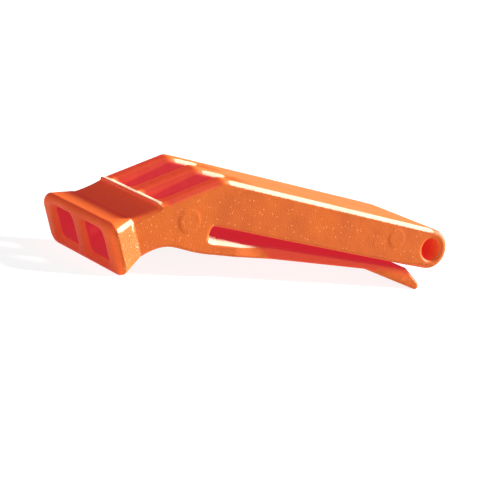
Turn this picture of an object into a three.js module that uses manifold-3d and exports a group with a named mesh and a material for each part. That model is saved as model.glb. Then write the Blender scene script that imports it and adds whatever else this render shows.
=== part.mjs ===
// Pealess whistle with a spring clip: a welded three-layer body, a mouthpiece cap, tuning inserts and a clip.
// Millimetres, +Z up, +X from the mouthpiece to the tail, the right-hand side of its user at -Y.
import * as THREE from 'three';
import { mergeVertices } from 'three/addons/utils/BufferGeometryUtils.js';
import Module from 'manifold-3d';

const { degToRad, lerp } = THREE.MathUtils;

// Slopes of the two straight stretches, which meet at the apex behind the windows
const FRONT_RISE = degToRad(24.6);
const TAIL_FALL = degToRad(7.4);

// Body
const BODY_WIDTH = 20;
const PLATE_THICKNESS = 3.2;
const SIDE_WALL = 3.2;
const EDGE_ROUND = 0.7;
const APEX_ROUND = 0.5;
const TAIL_LENGTH = 43.1;
const TAIL_THICKNESS = 6.7;
const TAIL_ROOT_THICKNESS = 7.45;
const LANYARD_HOLE = 3.6;
const HOLE_CHAMFER = 0.5;

// Neck and the step across the top, measured forward from the apex and down from the window face
const RIDGE_BACK = 11.3;
const RIDGE_STEP = 0.2;
const NECK_DISH = 0.05;
const NECK_TOP = 0.4;
const NECK_BOTTOM = 6.75;

// Mouthpiece cap and its mouth
const LIP_FRONT = 21.3;
const CAP_DEPTH = 4.8;
const LIP_WIDTH = 24;
const LIP_ABOVE = 0.55;
const LIP_BELOW = 8.15;
const LIP_ROUND = 1.2;
const LIP_CORNER = 2.4;
const MOUTH_WIDTH = 16.4;
const MOUTH_HEIGHT = 5.6;
const MOUTH_CORNER = 0.8;
const DIVIDER_EDGE = 3.8;
const DIVIDER_SET_BACK = 0.4;

// Windway, window and the blade that splits the air
const DUCT_HEIGHT = 1.9;
const WINDWAY_HEIGHT = 1.1;
const WINDWAY_ROOF = 2.5;
const BLOCK_THICKNESS = 1.1;
const WINDOW_FRONT = 9.3;
const WINDOW_LENGTH = 4.0;
const BLADE_EDGE = 0.25;
const BLADE_PLATE = 0.8;
const BLADE_TAPER = 2.7;

// Chambers in the tail and the stops that tune them
const CHAMBER_WALL = 1.5;
const CHAMBER_LENGTH = 34;
const CHIN_WALL = 1.3;
const SLIT_WALL = 0.8;
const RIGHT_STOP_LENGTH = 10;
const LEFT_STOP_LENGTH = 6;

// Clip: slit, tongue and foot
const SLIT_FRONT = 0.4;
const SLIT_ROOT = 1.95;
const SLIT_LEVEL = 5;
const SLIT_TIP = 0.5;
const ROOT_LEDGE = 0.8;
const BELLY_LIFT = 3.85;
const FOOT_LIFT = 2.9;
const FOOT_RUN = 11.4;
const FOOT_SHORT = 0.6;
const FOOT_FACE_RUN = 3.5;
const FOOT_NOSE = 0.8;
const FOOT_CORNER = 1.5;
const CLIP_EDGE_ROUND = 0.3;
const CLIP_NARROW = 0.7;
const CHIN_RISE = degToRad(33);
const CHIN_FRONT_HANDLE = 5.5;
const CHIN_REAR_HANDLE = 6;
const CHIN_REACH = 1;

// Clearances
const SEAT_GAP = 0.3;
const HINGE_GAP = 0.3;

// Modelling values: how far cutters run past what they cut, and how finely curves are divided
const OVERCUT = 3;
const CURVE_STEPS = 10;
const BEVEL_STEPS = 3;
const ROUND_STEPS = 4;
const CORNER_STEPS = 4;
const NOSE_STEPS = 2;
const HOLE_SIDES = 40;
const WELD_DISTANCE = 1e-4;

// Side-view coordinates. The apex is the origin until the whole whistle is set on its rest plane.
// forward runs from the apex down to the mouth, along runs from it to the tail, and depth goes down from
// the sloping top face.
function front(forward, depth) {
  return new THREE.Vector2(
    -forward * Math.cos(FRONT_RISE) + depth * Math.sin(FRONT_RISE),
    -forward * Math.sin(FRONT_RISE) - depth * Math.cos(FRONT_RISE),
  );
}

function tail(along, depth) {
  return new THREE.Vector2(
    along * Math.cos(TAIL_FALL) - depth * Math.sin(TAIL_FALL),
    -along * Math.sin(TAIL_FALL) - depth * Math.cos(TAIL_FALL),
  );
}

// Places worked out from the driving dimensions
const HALF_BODY = BODY_WIDTH / 2;
const HALF_PLATE = PLATE_THICKNESS / 2;
const POCKET_SIDE = HALF_BODY - SIDE_WALL;
const BEND = FRONT_RISE + TAIL_FALL;
const CAP_REAR = LIP_FRONT - CAP_DEPTH;
const NECK_FRONT = CAP_REAR - SEAT_GAP;
const WINDWAY_FLOOR = WINDWAY_ROOF + WINDWAY_HEIGHT;
const SLOT_DEPTH = WINDWAY_ROOF + WINDWAY_HEIGHT / 2;
const BLOCK_SEAT = WINDWAY_FLOOR + BLOCK_THICKNESS;
const DUCT_ROOF = WINDWAY_FLOOR - DUCT_HEIGHT;
const BLADE_FRONT = WINDOW_FRONT - WINDOW_LENGTH;
const BLADE_BACK = BLADE_FRONT - BLADE_TAPER;
const MOUTH_MIDDLE = (LIP_BELOW - LIP_ABOVE) / 2;
const SLIT_CENTRE = SLIT_FRONT + SLIT_ROOT / 2;
const SLIT_MIDDLE = TAIL_ROOT_THICKNESS + SLIT_ROOT / 2;
const SLIT_FLOOR = TAIL_ROOT_THICKNESS + SLIT_ROOT;
const ROOT = SLIT_CENTRE + ROOT_LEDGE;
const HOLE = tail(TAIL_LENGTH, TAIL_THICKNESS / 2);
const REST_LEVEL = front(LIP_FRONT - LIP_ROUND, LIP_BELOW - LIP_ROUND).y - LIP_ROUND;

const FOOT_TIP = HOLE.x - FOOT_SHORT;
const FOOT_START = new THREE.Vector2(FOOT_TIP - FOOT_RUN, REST_LEVEL + FOOT_LIFT);
const FOOT_TOP_DEPTH = tailUnder(TAIL_LENGTH - FOOT_SHORT - FOOT_FACE_RUN) + SLIT_TIP;
const FOOT_TOP_ALONG = (FOOT_TIP - FOOT_FACE_RUN + FOOT_TOP_DEPTH * Math.sin(TAIL_FALL)) / Math.cos(TAIL_FALL);
const ROOT_BELLY = new THREE.Vector2(tail(ROOT, SLIT_FLOOR).x, REST_LEVEL + BELLY_LIFT);

// Depth of the tail's underside, which thins from the slit's end to the barrel
function tailUnder(along) {
  const share = (along - SLIT_CENTRE) / (TAIL_LENGTH - SLIT_CENTRE);
  return lerp(TAIL_ROOT_THICKNESS, TAIL_THICKNESS, share);
}

// Point on the straight underside that the chin and the clip share
function belly(x) {
  const share = (x - ROOT_BELLY.x) / (FOOT_START.x - ROOT_BELLY.x);
  return new THREE.Vector2(x, lerp(ROOT_BELLY.y, FOOT_START.y, share));
}

const wasm = await Module();
wasm.setup();

function toSolid(geometry) {
  geometry.deleteAttribute('normal');
  geometry.deleteAttribute('uv');
  const merged = mergeVertices(geometry, WELD_DISTANCE);
  return new wasm.Manifold(new wasm.Mesh({
    numProp: 3,
    vertProperties: new Float32Array(merged.attributes.position.array),
    triVerts: new Uint32Array(merged.index.array),
  }));
}

function toMesh(name, solid, colour) {
  const { vertProperties, triVerts } = solid.getMesh();
  const geometry = new THREE.BufferGeometry();
  geometry.setAttribute('position', new THREE.BufferAttribute(vertProperties, 3));
  geometry.setIndex(new THREE.BufferAttribute(triVerts, 1));
  geometry.computeVertexNormals();
  const material = new THREE.MeshStandardMaterial({ color: colour, roughness: 0.45, metalness: 0 });
  const mesh = new THREE.Mesh(geometry, material);
  mesh.name = name;
  return mesh;
}

// Outline as straight steps, without the doubled points where two curves meet
function stepped(shape) {
  const points = shape.getPoints(CURVE_STEPS);
  const apart = points.filter((point, i) => point.distanceTo(points.at(i - 1)) > WELD_DISTANCE);
  return new THREE.Shape(apart);
}

// Side outline as a solid between two Y values
function slab(shape, fromY, toY) {
  const geometry = new THREE.ExtrudeGeometry(stepped(shape), { depth: toY - fromY, bevelEnabled: false });
  geometry.rotateX(Math.PI / 2);
  geometry.translate(0, toY, 0);
  return toSolid(geometry);
}

// Side outline as a solid as wide as the body, with its two side edges rounded
function roundedSlab(shape, round) {
  const geometry = new THREE.ExtrudeGeometry(stepped(shape), {
    depth: BODY_WIDTH - 2 * round,
    bevelThickness: round,
    bevelSize: round,
    bevelOffset: -round,
    bevelSegments: BEVEL_STEPS,
  });
  geometry.rotateX(Math.PI / 2);
  geometry.translate(0, HALF_BODY - round, 0);
  return toSolid(geometry);
}

// Closed skin over a row of rings with the same number of points each
function loft(rings) {
  const count = rings[0].length;
  const positions = rings.flat().flatMap((point) => point.toArray());
  const index = [];
  for (let ring = 0; ring + 1 < rings.length; ring += 1) {
    for (let i = 0; i < count; i += 1) {
      const a = ring * count + i;
      const b = ring * count + ((i + 1) % count);
      index.push(a, b, a + count, b, b + count, a + count);
    }
  }
  const last = (rings.length - 1) * count;
  for (let i = 1; i + 1 < count; i += 1) {
    index.push(0, i + 1, i, last, last + i, last + i + 1);
  }
  const geometry = new THREE.BufferGeometry();
  geometry.setAttribute('position', new THREE.Float32BufferAttribute(positions, 3));
  geometry.setIndex(index);
  return toSolid(geometry);
}

// Rounded rectangle across the mouthpiece at one place along it
function crossRing(forward, halfWidth, top, bottom, corner) {
  const ring = [];
  const corners = [
    [halfWidth - corner, bottom - corner, 0],
    [-halfWidth + corner, bottom - corner, 1],
    [-halfWidth + corner, top + corner, 2],
    [halfWidth - corner, top + corner, 3],
  ];
  for (const [y, depth, quarter] of corners) {
    for (let step = 0; step <= CORNER_STEPS; step += 1) {
      const angle = (quarter + step / CORNER_STEPS) * Math.PI / 2;
      const place = front(forward, depth + corner * Math.sin(angle));
      ring.push(new THREE.Vector3(place.x, y + corner * Math.cos(angle), place.y));
    }
  }
  return ring;
}

function outline(points) {
  return new THREE.Shape(points);
}

// Body outline: neck, ridge, windows' top face, apex, tail, slit and chin
function bodyOutline() {
  const shape = new THREE.Shape();
  const move = (point) => shape.lineTo(point.x, point.y);
  const bend = (control, end) => shape.quadraticCurveTo(control.x, control.y, end.x, end.y);
  const start = front(NECK_FRONT + OVERCUT, NECK_TOP);
  shape.moveTo(start.x, start.y);
  move(front(NECK_FRONT, NECK_TOP));
  bend(front((NECK_FRONT + RIDGE_BACK) / 2, NECK_TOP + 2 * NECK_DISH), front(RIDGE_BACK, RIDGE_STEP));
  move(front(RIDGE_BACK - RIDGE_STEP, 0));
  move(front(APEX_ROUND, 0));
  bend(front(0, 0), tail(APEX_ROUND, 0));
  const upright = Math.PI / 2 - TAIL_FALL;
  shape.absarc(HOLE.x, HOLE.y, TAIL_THICKNESS / 2, upright, upright - Math.PI, true);
  const slitEnd = tail(SLIT_CENTRE, SLIT_MIDDLE);
  shape.absarc(slitEnd.x, slitEnd.y, SLIT_ROOT / 2, upright, upright + Math.PI, false);
  const past = tail(ROOT + OVERCUT, SLIT_FLOOR);
  move(past);
  move(belly(past.x));
  const chinRear = belly(ROOT_BELLY.x - CHIN_REACH);
  const chinFront = front(NECK_FRONT, NECK_BOTTOM);
  move(chinRear);
  const rearHandle = belly(chinRear.x - CHIN_REAR_HANDLE);
  const rise = new THREE.Vector2(Math.cos(CHIN_RISE), Math.sin(CHIN_RISE));
  const frontHandle = chinFront.clone().addScaledVector(rise, CHIN_FRONT_HANDLE);
  shape.bezierCurveTo(rearHandle.x, rearHandle.y, frontHandle.x, frontHandle.y, chinFront.x, chinFront.y);
  move(chinFront.clone().addScaledVector(rise, -OVERCUT));
  return shape;
}

// Everything ahead of the face that the cap is welded to
function neckCutter() {
  const to = NECK_BOTTOM + 2 * OVERCUT;
  const corners = [
    front(NECK_FRONT, -OVERCUT),
    front(NECK_FRONT + 3 * OVERCUT, -OVERCUT),
    front(NECK_FRONT + 3 * OVERCUT, to),
    front(NECK_FRONT, to),
  ];
  return slab(outline(corners), -BODY_WIDTH, BODY_WIDTH);
}

// Everything behind the root plane and below the middle of the slit
function rootCutter() {
  const from = SLIT_MIDDLE;
  const to = from + TAIL_THICKNESS + BELLY_LIFT + OVERCUT;
  const corners = [
    tail(ROOT, from),
    tail(ROOT + 2 * OVERCUT, from),
    tail(ROOT + 2 * OVERCUT, to),
    tail(ROOT, to),
  ];
  return slab(outline(corners), -BODY_WIDTH, BODY_WIDTH);
}

// Lanyard hole with a chamfered rim on both sides
function holeCutter() {
  const radius = LANYARD_HOLE / 2;
  const rim = radius + HOLE_CHAMFER + OVERCUT;
  const end = HALF_BODY + OVERCUT;
  const geometry = new THREE.LatheGeometry([
    new THREE.Vector2(0, -end),
    new THREE.Vector2(rim, -end),
    new THREE.Vector2(radius, -HALF_BODY + HOLE_CHAMFER),
    new THREE.Vector2(radius, HALF_BODY - HOLE_CHAMFER),
    new THREE.Vector2(rim, end),
    new THREE.Vector2(0, end),
  ], HOLE_SIDES);
  geometry.translate(HOLE.x, 0, HOLE.y);
  return toSolid(geometry);
}

// Air spaces of one side in side view: the window slot, and the windway that opens into the chamber below it
function airOutlines() {
  const slotEnd = SLOT_DEPTH / Math.tan(BEND) + OVERCUT;
  const slot = outline([
    front(WINDOW_FRONT, -OVERCUT),
    front(-slotEnd, -OVERCUT),
    front(-slotEnd, SLOT_DEPTH),
    front(WINDOW_FRONT, SLOT_DEPTH),
  ]);
  const bladeUnder = SLOT_DEPTH + BLADE_PLATE;
  const roofAlong = (bladeUnder - CHAMBER_WALL * Math.cos(BEND)) / Math.sin(BEND);
  const beforeSlit = tail(SLIT_FRONT - SLIT_WALL, SLIT_MIDDLE);
  const overSlit = SLIT_CENTRE + SLIT_ROOT;
  const airway = outline([
    front(NECK_FRONT + OVERCUT, DUCT_ROOF),
    front(NECK_FRONT, DUCT_ROOF),
    front(WINDOW_FRONT, WINDWAY_ROOF),
    front(BLADE_FRONT, WINDWAY_ROOF),
    front(BLADE_FRONT, SLOT_DEPTH + BLADE_EDGE),
    front(BLADE_BACK, bladeUnder),
    tail(roofAlong, CHAMBER_WALL),
    tail(CHAMBER_LENGTH, CHAMBER_WALL),
    tail(CHAMBER_LENGTH, tailUnder(CHAMBER_LENGTH) - CHAMBER_WALL),
    tail(overSlit, tailUnder(overSlit) - CHAMBER_WALL),
    tail(SLIT_CENTRE, TAIL_ROOT_THICKNESS - SLIT_WALL),
    beforeSlit,
    new THREE.Vector2(beforeSlit.x, belly(beforeSlit.x).y + CHIN_WALL),
    front(WINDOW_FRONT, BLOCK_SEAT),
    front(NECK_FRONT + OVERCUT, BLOCK_SEAT),
  ]);
  return [slot, airway];
}

// Shell on one side: -1 is the right-hand one, +1 the left-hand one
function shell(side) {
  const keep = side < 0 ? [-BODY_WIDTH, -HALF_PLATE] : [HALF_PLATE, BODY_WIDTH];
  const pocket = side < 0 ? [-POCKET_SIDE, 0] : [0, POCKET_SIDE];
  const reach = BODY_WIDTH + TAIL_LENGTH;
  const half = slab(outline([
    new THREE.Vector2(-reach, -reach),
    new THREE.Vector2(reach, -reach),
    new THREE.Vector2(reach, reach),
    new THREE.Vector2(-reach, reach),
  ]), ...keep);
  let solid = roundedSlab(bodyOutline(), EDGE_ROUND).intersect(half);
  solid = solid.subtract(neckCutter()).subtract(rootCutter()).subtract(holeCutter());
  for (const shape of airOutlines()) {
    solid = solid.subtract(slab(shape, ...pocket));
  }
  return solid;
}

// Plate between the shells, with a nose that tapers to the divider in the mouth
function centrePlate() {
  const blank = slab(bodyOutline(), -HALF_PLATE, HALF_PLATE);
  const plate = blank.subtract(neckCutter()).subtract(rootCutter()).subtract(holeCutter());
  const halfMouth = MOUTH_HEIGHT / 2;
  const ends = [
    [NECK_FRONT - SEAT_GAP, HALF_PLATE, DUCT_ROOF, WINDWAY_FLOOR],
    [NECK_FRONT, HALF_PLATE, DUCT_ROOF, WINDWAY_FLOOR],
    [LIP_FRONT - DIVIDER_SET_BACK, DIVIDER_EDGE / 2, MOUTH_MIDDLE - halfMouth, MOUTH_MIDDLE + halfMouth],
  ];
  const nose = loft(ends.map(([forward, halfThick, top, bottom]) => (
    [[1, bottom], [-1, bottom], [-1, top], [1, top]].map(([side, edge]) => {
      const inward = edge === top ? SEAT_GAP : -SEAT_GAP;
      const place = front(forward, edge + inward);
      return new THREE.Vector3(place.x, side * halfThick, place.y);
    })
  )));
  return plate.add(nose);
}

// Lip that flares straight from the neck's section and rounds over at the front, with a funnel-shaped mouth
function mouthpieceCap() {
  const rings = [crossRing(CAP_REAR, HALF_BODY, NECK_TOP, NECK_BOTTOM, EDGE_ROUND)];
  for (let step = 0; step <= ROUND_STEPS; step += 1) {
    const angle = (step / ROUND_STEPS) * Math.PI / 2;
    const inset = LIP_ROUND * (1 - Math.cos(angle));
    const forward = LIP_FRONT - LIP_ROUND * (1 - Math.sin(angle));
    const halfWidth = LIP_WIDTH / 2 - inset;
    rings.push(crossRing(forward, halfWidth, inset - LIP_ABOVE, LIP_BELOW - inset, LIP_CORNER - inset));
  }
  const halfMouth = MOUTH_HEIGHT / 2;
  const mouthTop = MOUTH_MIDDLE - halfMouth;
  const mouthBottom = MOUTH_MIDDLE + halfMouth;
  const mouthHalf = MOUTH_WIDTH / 2;
  const throatCorner = MOUTH_CORNER / 2;
  const funnel = loft([
    crossRing(CAP_REAR - OVERCUT, POCKET_SIDE, DUCT_ROOF, WINDWAY_FLOOR, throatCorner),
    crossRing(CAP_REAR, POCKET_SIDE, DUCT_ROOF, WINDWAY_FLOOR, throatCorner),
    crossRing(LIP_FRONT, mouthHalf, mouthTop, mouthBottom, MOUTH_CORNER),
    crossRing(LIP_FRONT + OVERCUT, mouthHalf, mouthTop, mouthBottom, MOUTH_CORNER),
  ]);
  return loft(rings).subtract(funnel);
}

// Block that makes the floor of one windway
function fippleBlock(side) {
  const shape = outline([
    front(NECK_FRONT, WINDWAY_FLOOR),
    front(WINDOW_FRONT, WINDWAY_FLOOR),
    front(WINDOW_FRONT, BLOCK_SEAT - SEAT_GAP),
    front(NECK_FRONT, BLOCK_SEAT - SEAT_GAP),
  ]);
  return side < 0 ? slab(shape, -POCKET_SIDE, -HALF_PLATE) : slab(shape, HALF_PLATE, POCKET_SIDE);
}

// Stop that ends one chamber
function toneStop(side, length) {
  const end = CHAMBER_LENGTH - SEAT_GAP;
  const start = end - length;
  const top = CHAMBER_WALL + SEAT_GAP;
  const shape = outline([
    tail(start, top),
    tail(end, top),
    tail(end, tailUnder(end) - top),
    tail(start, tailUnder(start) - top),
  ]);
  return side < 0 ? slab(shape, -POCKET_SIDE, -HALF_PLATE) : slab(shape, HALF_PLATE, POCKET_SIDE);
}

// Spring clip: a tongue that thins towards its wedge foot, whose tip touches the rest plane
function clipTongue() {
  const shape = new THREE.Shape();
  const rootTop = tail(ROOT - OVERCUT, SLIT_FLOOR);
  const knee = tail(ROOT + SLIT_LEVEL, SLIT_FLOOR);
  const faceTop = tail(FOOT_TOP_ALONG, FOOT_TOP_DEPTH);
  const rootUnder = belly(rootTop.x);
  shape.moveTo(rootTop.x, rootTop.y);
  shape.lineTo(knee.x, knee.y);
  shape.lineTo(faceTop.x, faceTop.y);
  for (let step = 0; step <= NOSE_STEPS; step += 1) {
    const angle = (step / NOSE_STEPS) * Math.PI / 2;
    const x = FOOT_TIP - FOOT_NOSE * (1 - Math.cos(angle));
    shape.lineTo(x, REST_LEVEL + FOOT_NOSE * (1 - Math.sin(angle)));
  }
  shape.lineTo(FOOT_START.x, FOOT_START.y);
  shape.lineTo(rootUnder.x, rootUnder.y);
  const blank = roundedSlab(shape, CLIP_EDGE_ROUND);
  const rootPlane = ROOT + HINGE_GAP;
  const above = TAIL_THICKNESS - OVERCUT;
  const below = SLIT_FLOOR + BELLY_LIFT + 2 * OVERCUT;
  const rootWaste = slab(outline([
    tail(rootPlane - 2 * OVERCUT, above),
    tail(rootPlane, above),
    tail(rootPlane, below),
    tail(rootPlane - 2 * OVERCUT, below),
  ]), -BODY_WIDTH, BODY_WIDTH);
  return blank.subtract(rootWaste).intersect(clipPlan()).warp(narrow);
}

// Draws a point of the clip in towards the middle, evenly from the root to the foot's tip
function narrow(point) {
  const share = (point[0] - ROOT_BELLY.x) / (FOOT_TIP - ROOT_BELLY.x);
  point[1] *= 1 - (CLIP_NARROW / HALF_BODY) * share;
}

// Plan of the clip as a tall prism, square at the root and with rounded corners at the foot
function clipPlan() {
  const plan = new THREE.Shape();
  plan.moveTo(-OVERCUT, -HALF_BODY - OVERCUT);
  plan.lineTo(FOOT_START.x, -HALF_BODY - OVERCUT);
  plan.lineTo(FOOT_START.x, -HALF_BODY);
  plan.absarc(FOOT_TIP - FOOT_CORNER, FOOT_CORNER - HALF_BODY, FOOT_CORNER, -Math.PI / 2, 0, false);
  plan.absarc(FOOT_TIP - FOOT_CORNER, HALF_BODY - FOOT_CORNER, FOOT_CORNER, 0, Math.PI / 2, false);
  plan.lineTo(FOOT_START.x, HALF_BODY);
  plan.lineTo(FOOT_START.x, HALF_BODY + OVERCUT);
  plan.lineTo(-OVERCUT, HALF_BODY + OVERCUT);
  const depth = 2 * OVERCUT - REST_LEVEL;
  const geometry = new THREE.ExtrudeGeometry(stepped(plan), { depth, bevelEnabled: false });
  geometry.translate(0, 0, REST_LEVEL - OVERCUT);
  return toSolid(geometry);
}

const SHELL_ORANGE = 0xe46636;
const CAP_ORANGE = 0xe67a3c;
const PLATE_ORANGE = 0xd84a32;
const INSERT_RED = 0xc13a30;
const CLIP_ORANGE = 0xdc5a36;

const RIGHT = -1;
const LEFT = 1;

const body = new THREE.Group();
body.add(
  toMesh('right_shell', shell(RIGHT), SHELL_ORANGE),
  toMesh('left_shell', shell(LEFT), SHELL_ORANGE),
  toMesh('centre_plate', centrePlate(), PLATE_ORANGE),
  toMesh('mouthpiece_cap', mouthpieceCap(), CAP_ORANGE),
  toMesh('right_fipple_block', fippleBlock(RIGHT), INSERT_RED),
  toMesh('left_fipple_block', fippleBlock(LEFT), INSERT_RED),
  toMesh('right_tone_stop', toneStop(RIGHT, RIGHT_STOP_LENGTH), INSERT_RED),
  toMesh('left_tone_stop', toneStop(LEFT, LEFT_STOP_LENGTH), INSERT_RED),
  toMesh('clip_tongue', clipTongue(), CLIP_ORANGE),
);

// Set the whistle on its rest plane, with the middle of its length at X = 0
const extent = new THREE.Box3().setFromObject(body);
body.position.set(-(extent.min.x + extent.max.x) / 2, 0, -extent.min.z);

const whistle = new THREE.Group();
whistle.add(body);

export default whistle;
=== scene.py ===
# %% [markdown]
# A pealess whistle with a spring clip
#
# The real one is moulded in translucent orange plastic: a flared mouthpiece with two mouths, a sloping
# front with two windows where the air is split, a long tail with a lanyard hole, and a springy tongue cut
# free below the tail. The imported CAD model is the frame that everything here is fitted to. It is loaded
# first.

# %% Load the frame
import math

import bmesh
import bpy
import numpy as np
from mathutils import Matrix, Vector


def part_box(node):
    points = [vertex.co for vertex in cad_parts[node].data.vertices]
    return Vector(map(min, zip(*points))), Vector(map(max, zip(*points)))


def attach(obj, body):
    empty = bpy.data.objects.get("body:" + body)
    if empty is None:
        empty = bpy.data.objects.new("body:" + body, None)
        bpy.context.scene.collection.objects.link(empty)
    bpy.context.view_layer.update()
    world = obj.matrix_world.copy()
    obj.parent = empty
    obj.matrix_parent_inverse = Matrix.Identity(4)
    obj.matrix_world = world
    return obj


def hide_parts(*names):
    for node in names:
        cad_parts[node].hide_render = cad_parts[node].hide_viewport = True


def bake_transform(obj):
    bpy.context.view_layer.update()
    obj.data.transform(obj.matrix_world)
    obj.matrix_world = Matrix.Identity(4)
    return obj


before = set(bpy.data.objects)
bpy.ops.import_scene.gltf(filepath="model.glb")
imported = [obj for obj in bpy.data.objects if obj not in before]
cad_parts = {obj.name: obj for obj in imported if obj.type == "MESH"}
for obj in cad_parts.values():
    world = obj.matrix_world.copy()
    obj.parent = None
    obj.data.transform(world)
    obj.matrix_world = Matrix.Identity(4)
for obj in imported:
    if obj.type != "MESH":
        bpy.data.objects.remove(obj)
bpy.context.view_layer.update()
MM = 0.001

# %% [markdown]
# The camera
#
# The camera stands in front of the mouthpiece, on the right-hand side and a little above, and it is
# rolled, so that the tail runs downhill in the picture. Building its axes one by one keeps that roll
# readable: first a level direction to the right, then up, then both are turned about the line of sight.

# %% Camera
AZIMUTH = math.radians(-33.38)
ELEVATION = math.radians(9.95)
ROLL = math.radians(10.18)
CAMERA_PLACE = Vector((-0.184747, -0.27765, 0.062806))
FOCAL_PIXELS = 2100
IMAGE_PIXELS = 480
SENSOR_WIDTH = 36.0
NEAREST_SEEN = 0.01

back = Vector((math.sin(AZIMUTH) * math.cos(ELEVATION), -math.cos(AZIMUTH) * math.cos(ELEVATION),
               math.sin(ELEVATION)))
level = Vector((math.cos(AZIMUTH), math.sin(AZIMUTH), 0))
right = level * math.cos(ROLL) + back.cross(level) * math.sin(ROLL)
camera_turn = Matrix((right, back.cross(right), back)).transposed().to_4x4()
camera_data = bpy.data.cameras.new("camera")
camera_data.sensor_width = SENSOR_WIDTH
camera_data.lens = FOCAL_PIXELS / IMAGE_PIXELS * SENSOR_WIDTH
camera_data.clip_start = NEAREST_SEEN
camera = bpy.data.objects.new("camera", camera_data)
camera.matrix_world = Matrix.Translation(CAMERA_PLACE) @ camera_turn
bpy.context.scene.collection.objects.link(camera)
bpy.context.scene.camera = camera
print("lens", round(camera_data.lens, 2), "mm")

# %% [markdown]
# Sizes and side-view coordinates
#
# The whistle is drawn from the side. Two straight stretches meet at the apex behind the windows: the front,
# which runs down to the mouth, and the tail, which falls gently to the lanyard hole. Everything is placed by
# how far it lies from the apex along one of the two and how deep below its top face. The apex itself is
# found in the frame: the shell's box ends at the barrel round the hole, and the lip rests on the ground.

# %% Driving sizes in millimetres
FRONT_RISE = math.radians(24.6)
TAIL_FALL = math.radians(7.4)
HALF_BODY = 10.0
HALF_PLATE = 1.6
POCKET_SIDE = 6.8
APEX_ROUND = 0.5
TAIL_LENGTH = 43.1
TAIL_THICKNESS = 6.7
TAIL_ROOT_THICKNESS = 7.45
HOLE_RADIUS = 1.8
RIDGE_BACK = 11.7
RIDGE_STEP = 0.2
NECK_DISH = 0.05
NECK_TOP = 0.4
NECK_BOTTOM = 6.75
NECK_FRONT = 16.2
CAP_REAR = 16.5
LIP_FRONT = 21.3
LIP_BELOW = 8.15
LIP_ROUND = 1.2
SLIT_FRONT = 0.4
SLIT_ROOT = 1.55
ROOT_LEDGE = 0.8
BELLY_LIFT = 3.85
FOOT_LIFT = 2.9
FOOT_RUN = 11.4
FOOT_SHORT = 0.6
SLIT_CENTRE = SLIT_FRONT + SLIT_ROOT / 2
SLIT_MIDDLE = TAIL_ROOT_THICKNESS + SLIT_ROOT / 2
SLIT_BOTTOM = TAIL_ROOT_THICKNESS + SLIT_ROOT
ROOT = SLIT_CENTRE + ROOT_LEDGE


def front_place(forward, depth):
    """Side-view point: forward from the apex down the front slope, then depth square to it."""
    return np.array([-forward * math.cos(FRONT_RISE) + depth * math.sin(FRONT_RISE),
                     -forward * math.sin(FRONT_RISE) - depth * math.cos(FRONT_RISE)])


def tail_place(along, depth):
    """Side-view point: along from the apex down the tail, then depth square to it."""
    return np.array([along * math.cos(TAIL_FALL) - depth * math.sin(TAIL_FALL),
                     -along * math.sin(TAIL_FALL) - depth * math.cos(TAIL_FALL)])


def front_reading(x, z):
    """The reverse of front_place: forward and depth of whole arrays of points."""
    return (-x * math.cos(FRONT_RISE) - z * math.sin(FRONT_RISE),
            x * math.sin(FRONT_RISE) - z * math.cos(FRONT_RISE))


def tail_reading(x, z):
    """The reverse of tail_place: along and depth of whole arrays of points."""
    return (x * math.cos(TAIL_FALL) - z * math.sin(TAIL_FALL),
            -x * math.sin(TAIL_FALL) - z * math.cos(TAIL_FALL))


def tail_under(along):
    """Depth of the tail's underside, which thins evenly from the slit's end to the barrel."""
    share = (along - SLIT_CENTRE) / (TAIL_LENGTH - SLIT_CENTRE)
    return TAIL_ROOT_THICKNESS + share * (TAIL_THICKNESS - TAIL_ROOT_THICKNESS)


REST_LEVEL = front_place(LIP_FRONT - LIP_ROUND, LIP_BELOW - LIP_ROUND)[1] - LIP_ROUND
HOLE = tail_place(TAIL_LENGTH, TAIL_THICKNESS / 2)
APEX = np.array([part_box("right_shell")[1].x / MM - HOLE[0] - TAIL_THICKNESS / 2, 0, -REST_LEVEL])
FOOT_TIP = HOLE[0] - FOOT_SHORT
FOOT_START = np.array([FOOT_TIP - FOOT_RUN, REST_LEVEL + FOOT_LIFT])
ROOT_BELLY = np.array([tail_place(ROOT, SLIT_BOTTOM)[0], REST_LEVEL + BELLY_LIFT])
print("apex at", APEX.round(3), "mm")

# %% [markdown]
# The side outline
#
# On the real whistle the same outline runs through all its width: neck, ridge, windows' face, apex, tail,
# barrel, slit and chin. Straight stretches need only their ends, and each round stretch is an arc or a
# Bezier curve with a few handles, so the outline can be changed by its sizes alone.

# %% Outline of the body
CURVE_STEPS = 24
CREST_HEIGHT = 0.28
CREST_RUN = 0.8
INSIDE_LIP = 2.0
ROOT_OVERLAP = 3.0
CHIN_RISE = math.radians(33)
CHIN_FRONT_HANDLE = 5.5
CHIN_REAR_HANDLE = 6.0
CHIN_REACH = 1.0
UPRIGHT = math.pi / 2 - TAIL_FALL


def bezier(*handles):
    """Bezier curve: each handle times its Bernstein weight, summed."""
    degree = len(handles) - 1
    t = np.linspace(0, 1, CURVE_STEPS)[:, None]
    weights = [math.comb(degree, k) * t**k * (1 - t)**(degree - k) for k in range(degree + 1)]
    return sum(weight * handle for weight, handle in zip(weights, handles))


def arc(centre, radius, start, stop):
    """Circular arc: the centre plus the radius turned from the start angle to the stop angle."""
    angle = np.linspace(start, stop, CURVE_STEPS)
    return centre + radius * np.stack([np.cos(angle), np.sin(angle)], axis=1)


def belly(x):
    """Point on the straight underside of chin and clip: its height changes evenly from root to foot."""
    share = (x - ROOT_BELLY[0]) / (FOOT_START[0] - ROOT_BELLY[0])
    return np.array([x, ROOT_BELLY[1] + share * (FOOT_START[1] - ROOT_BELLY[1])])


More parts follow.
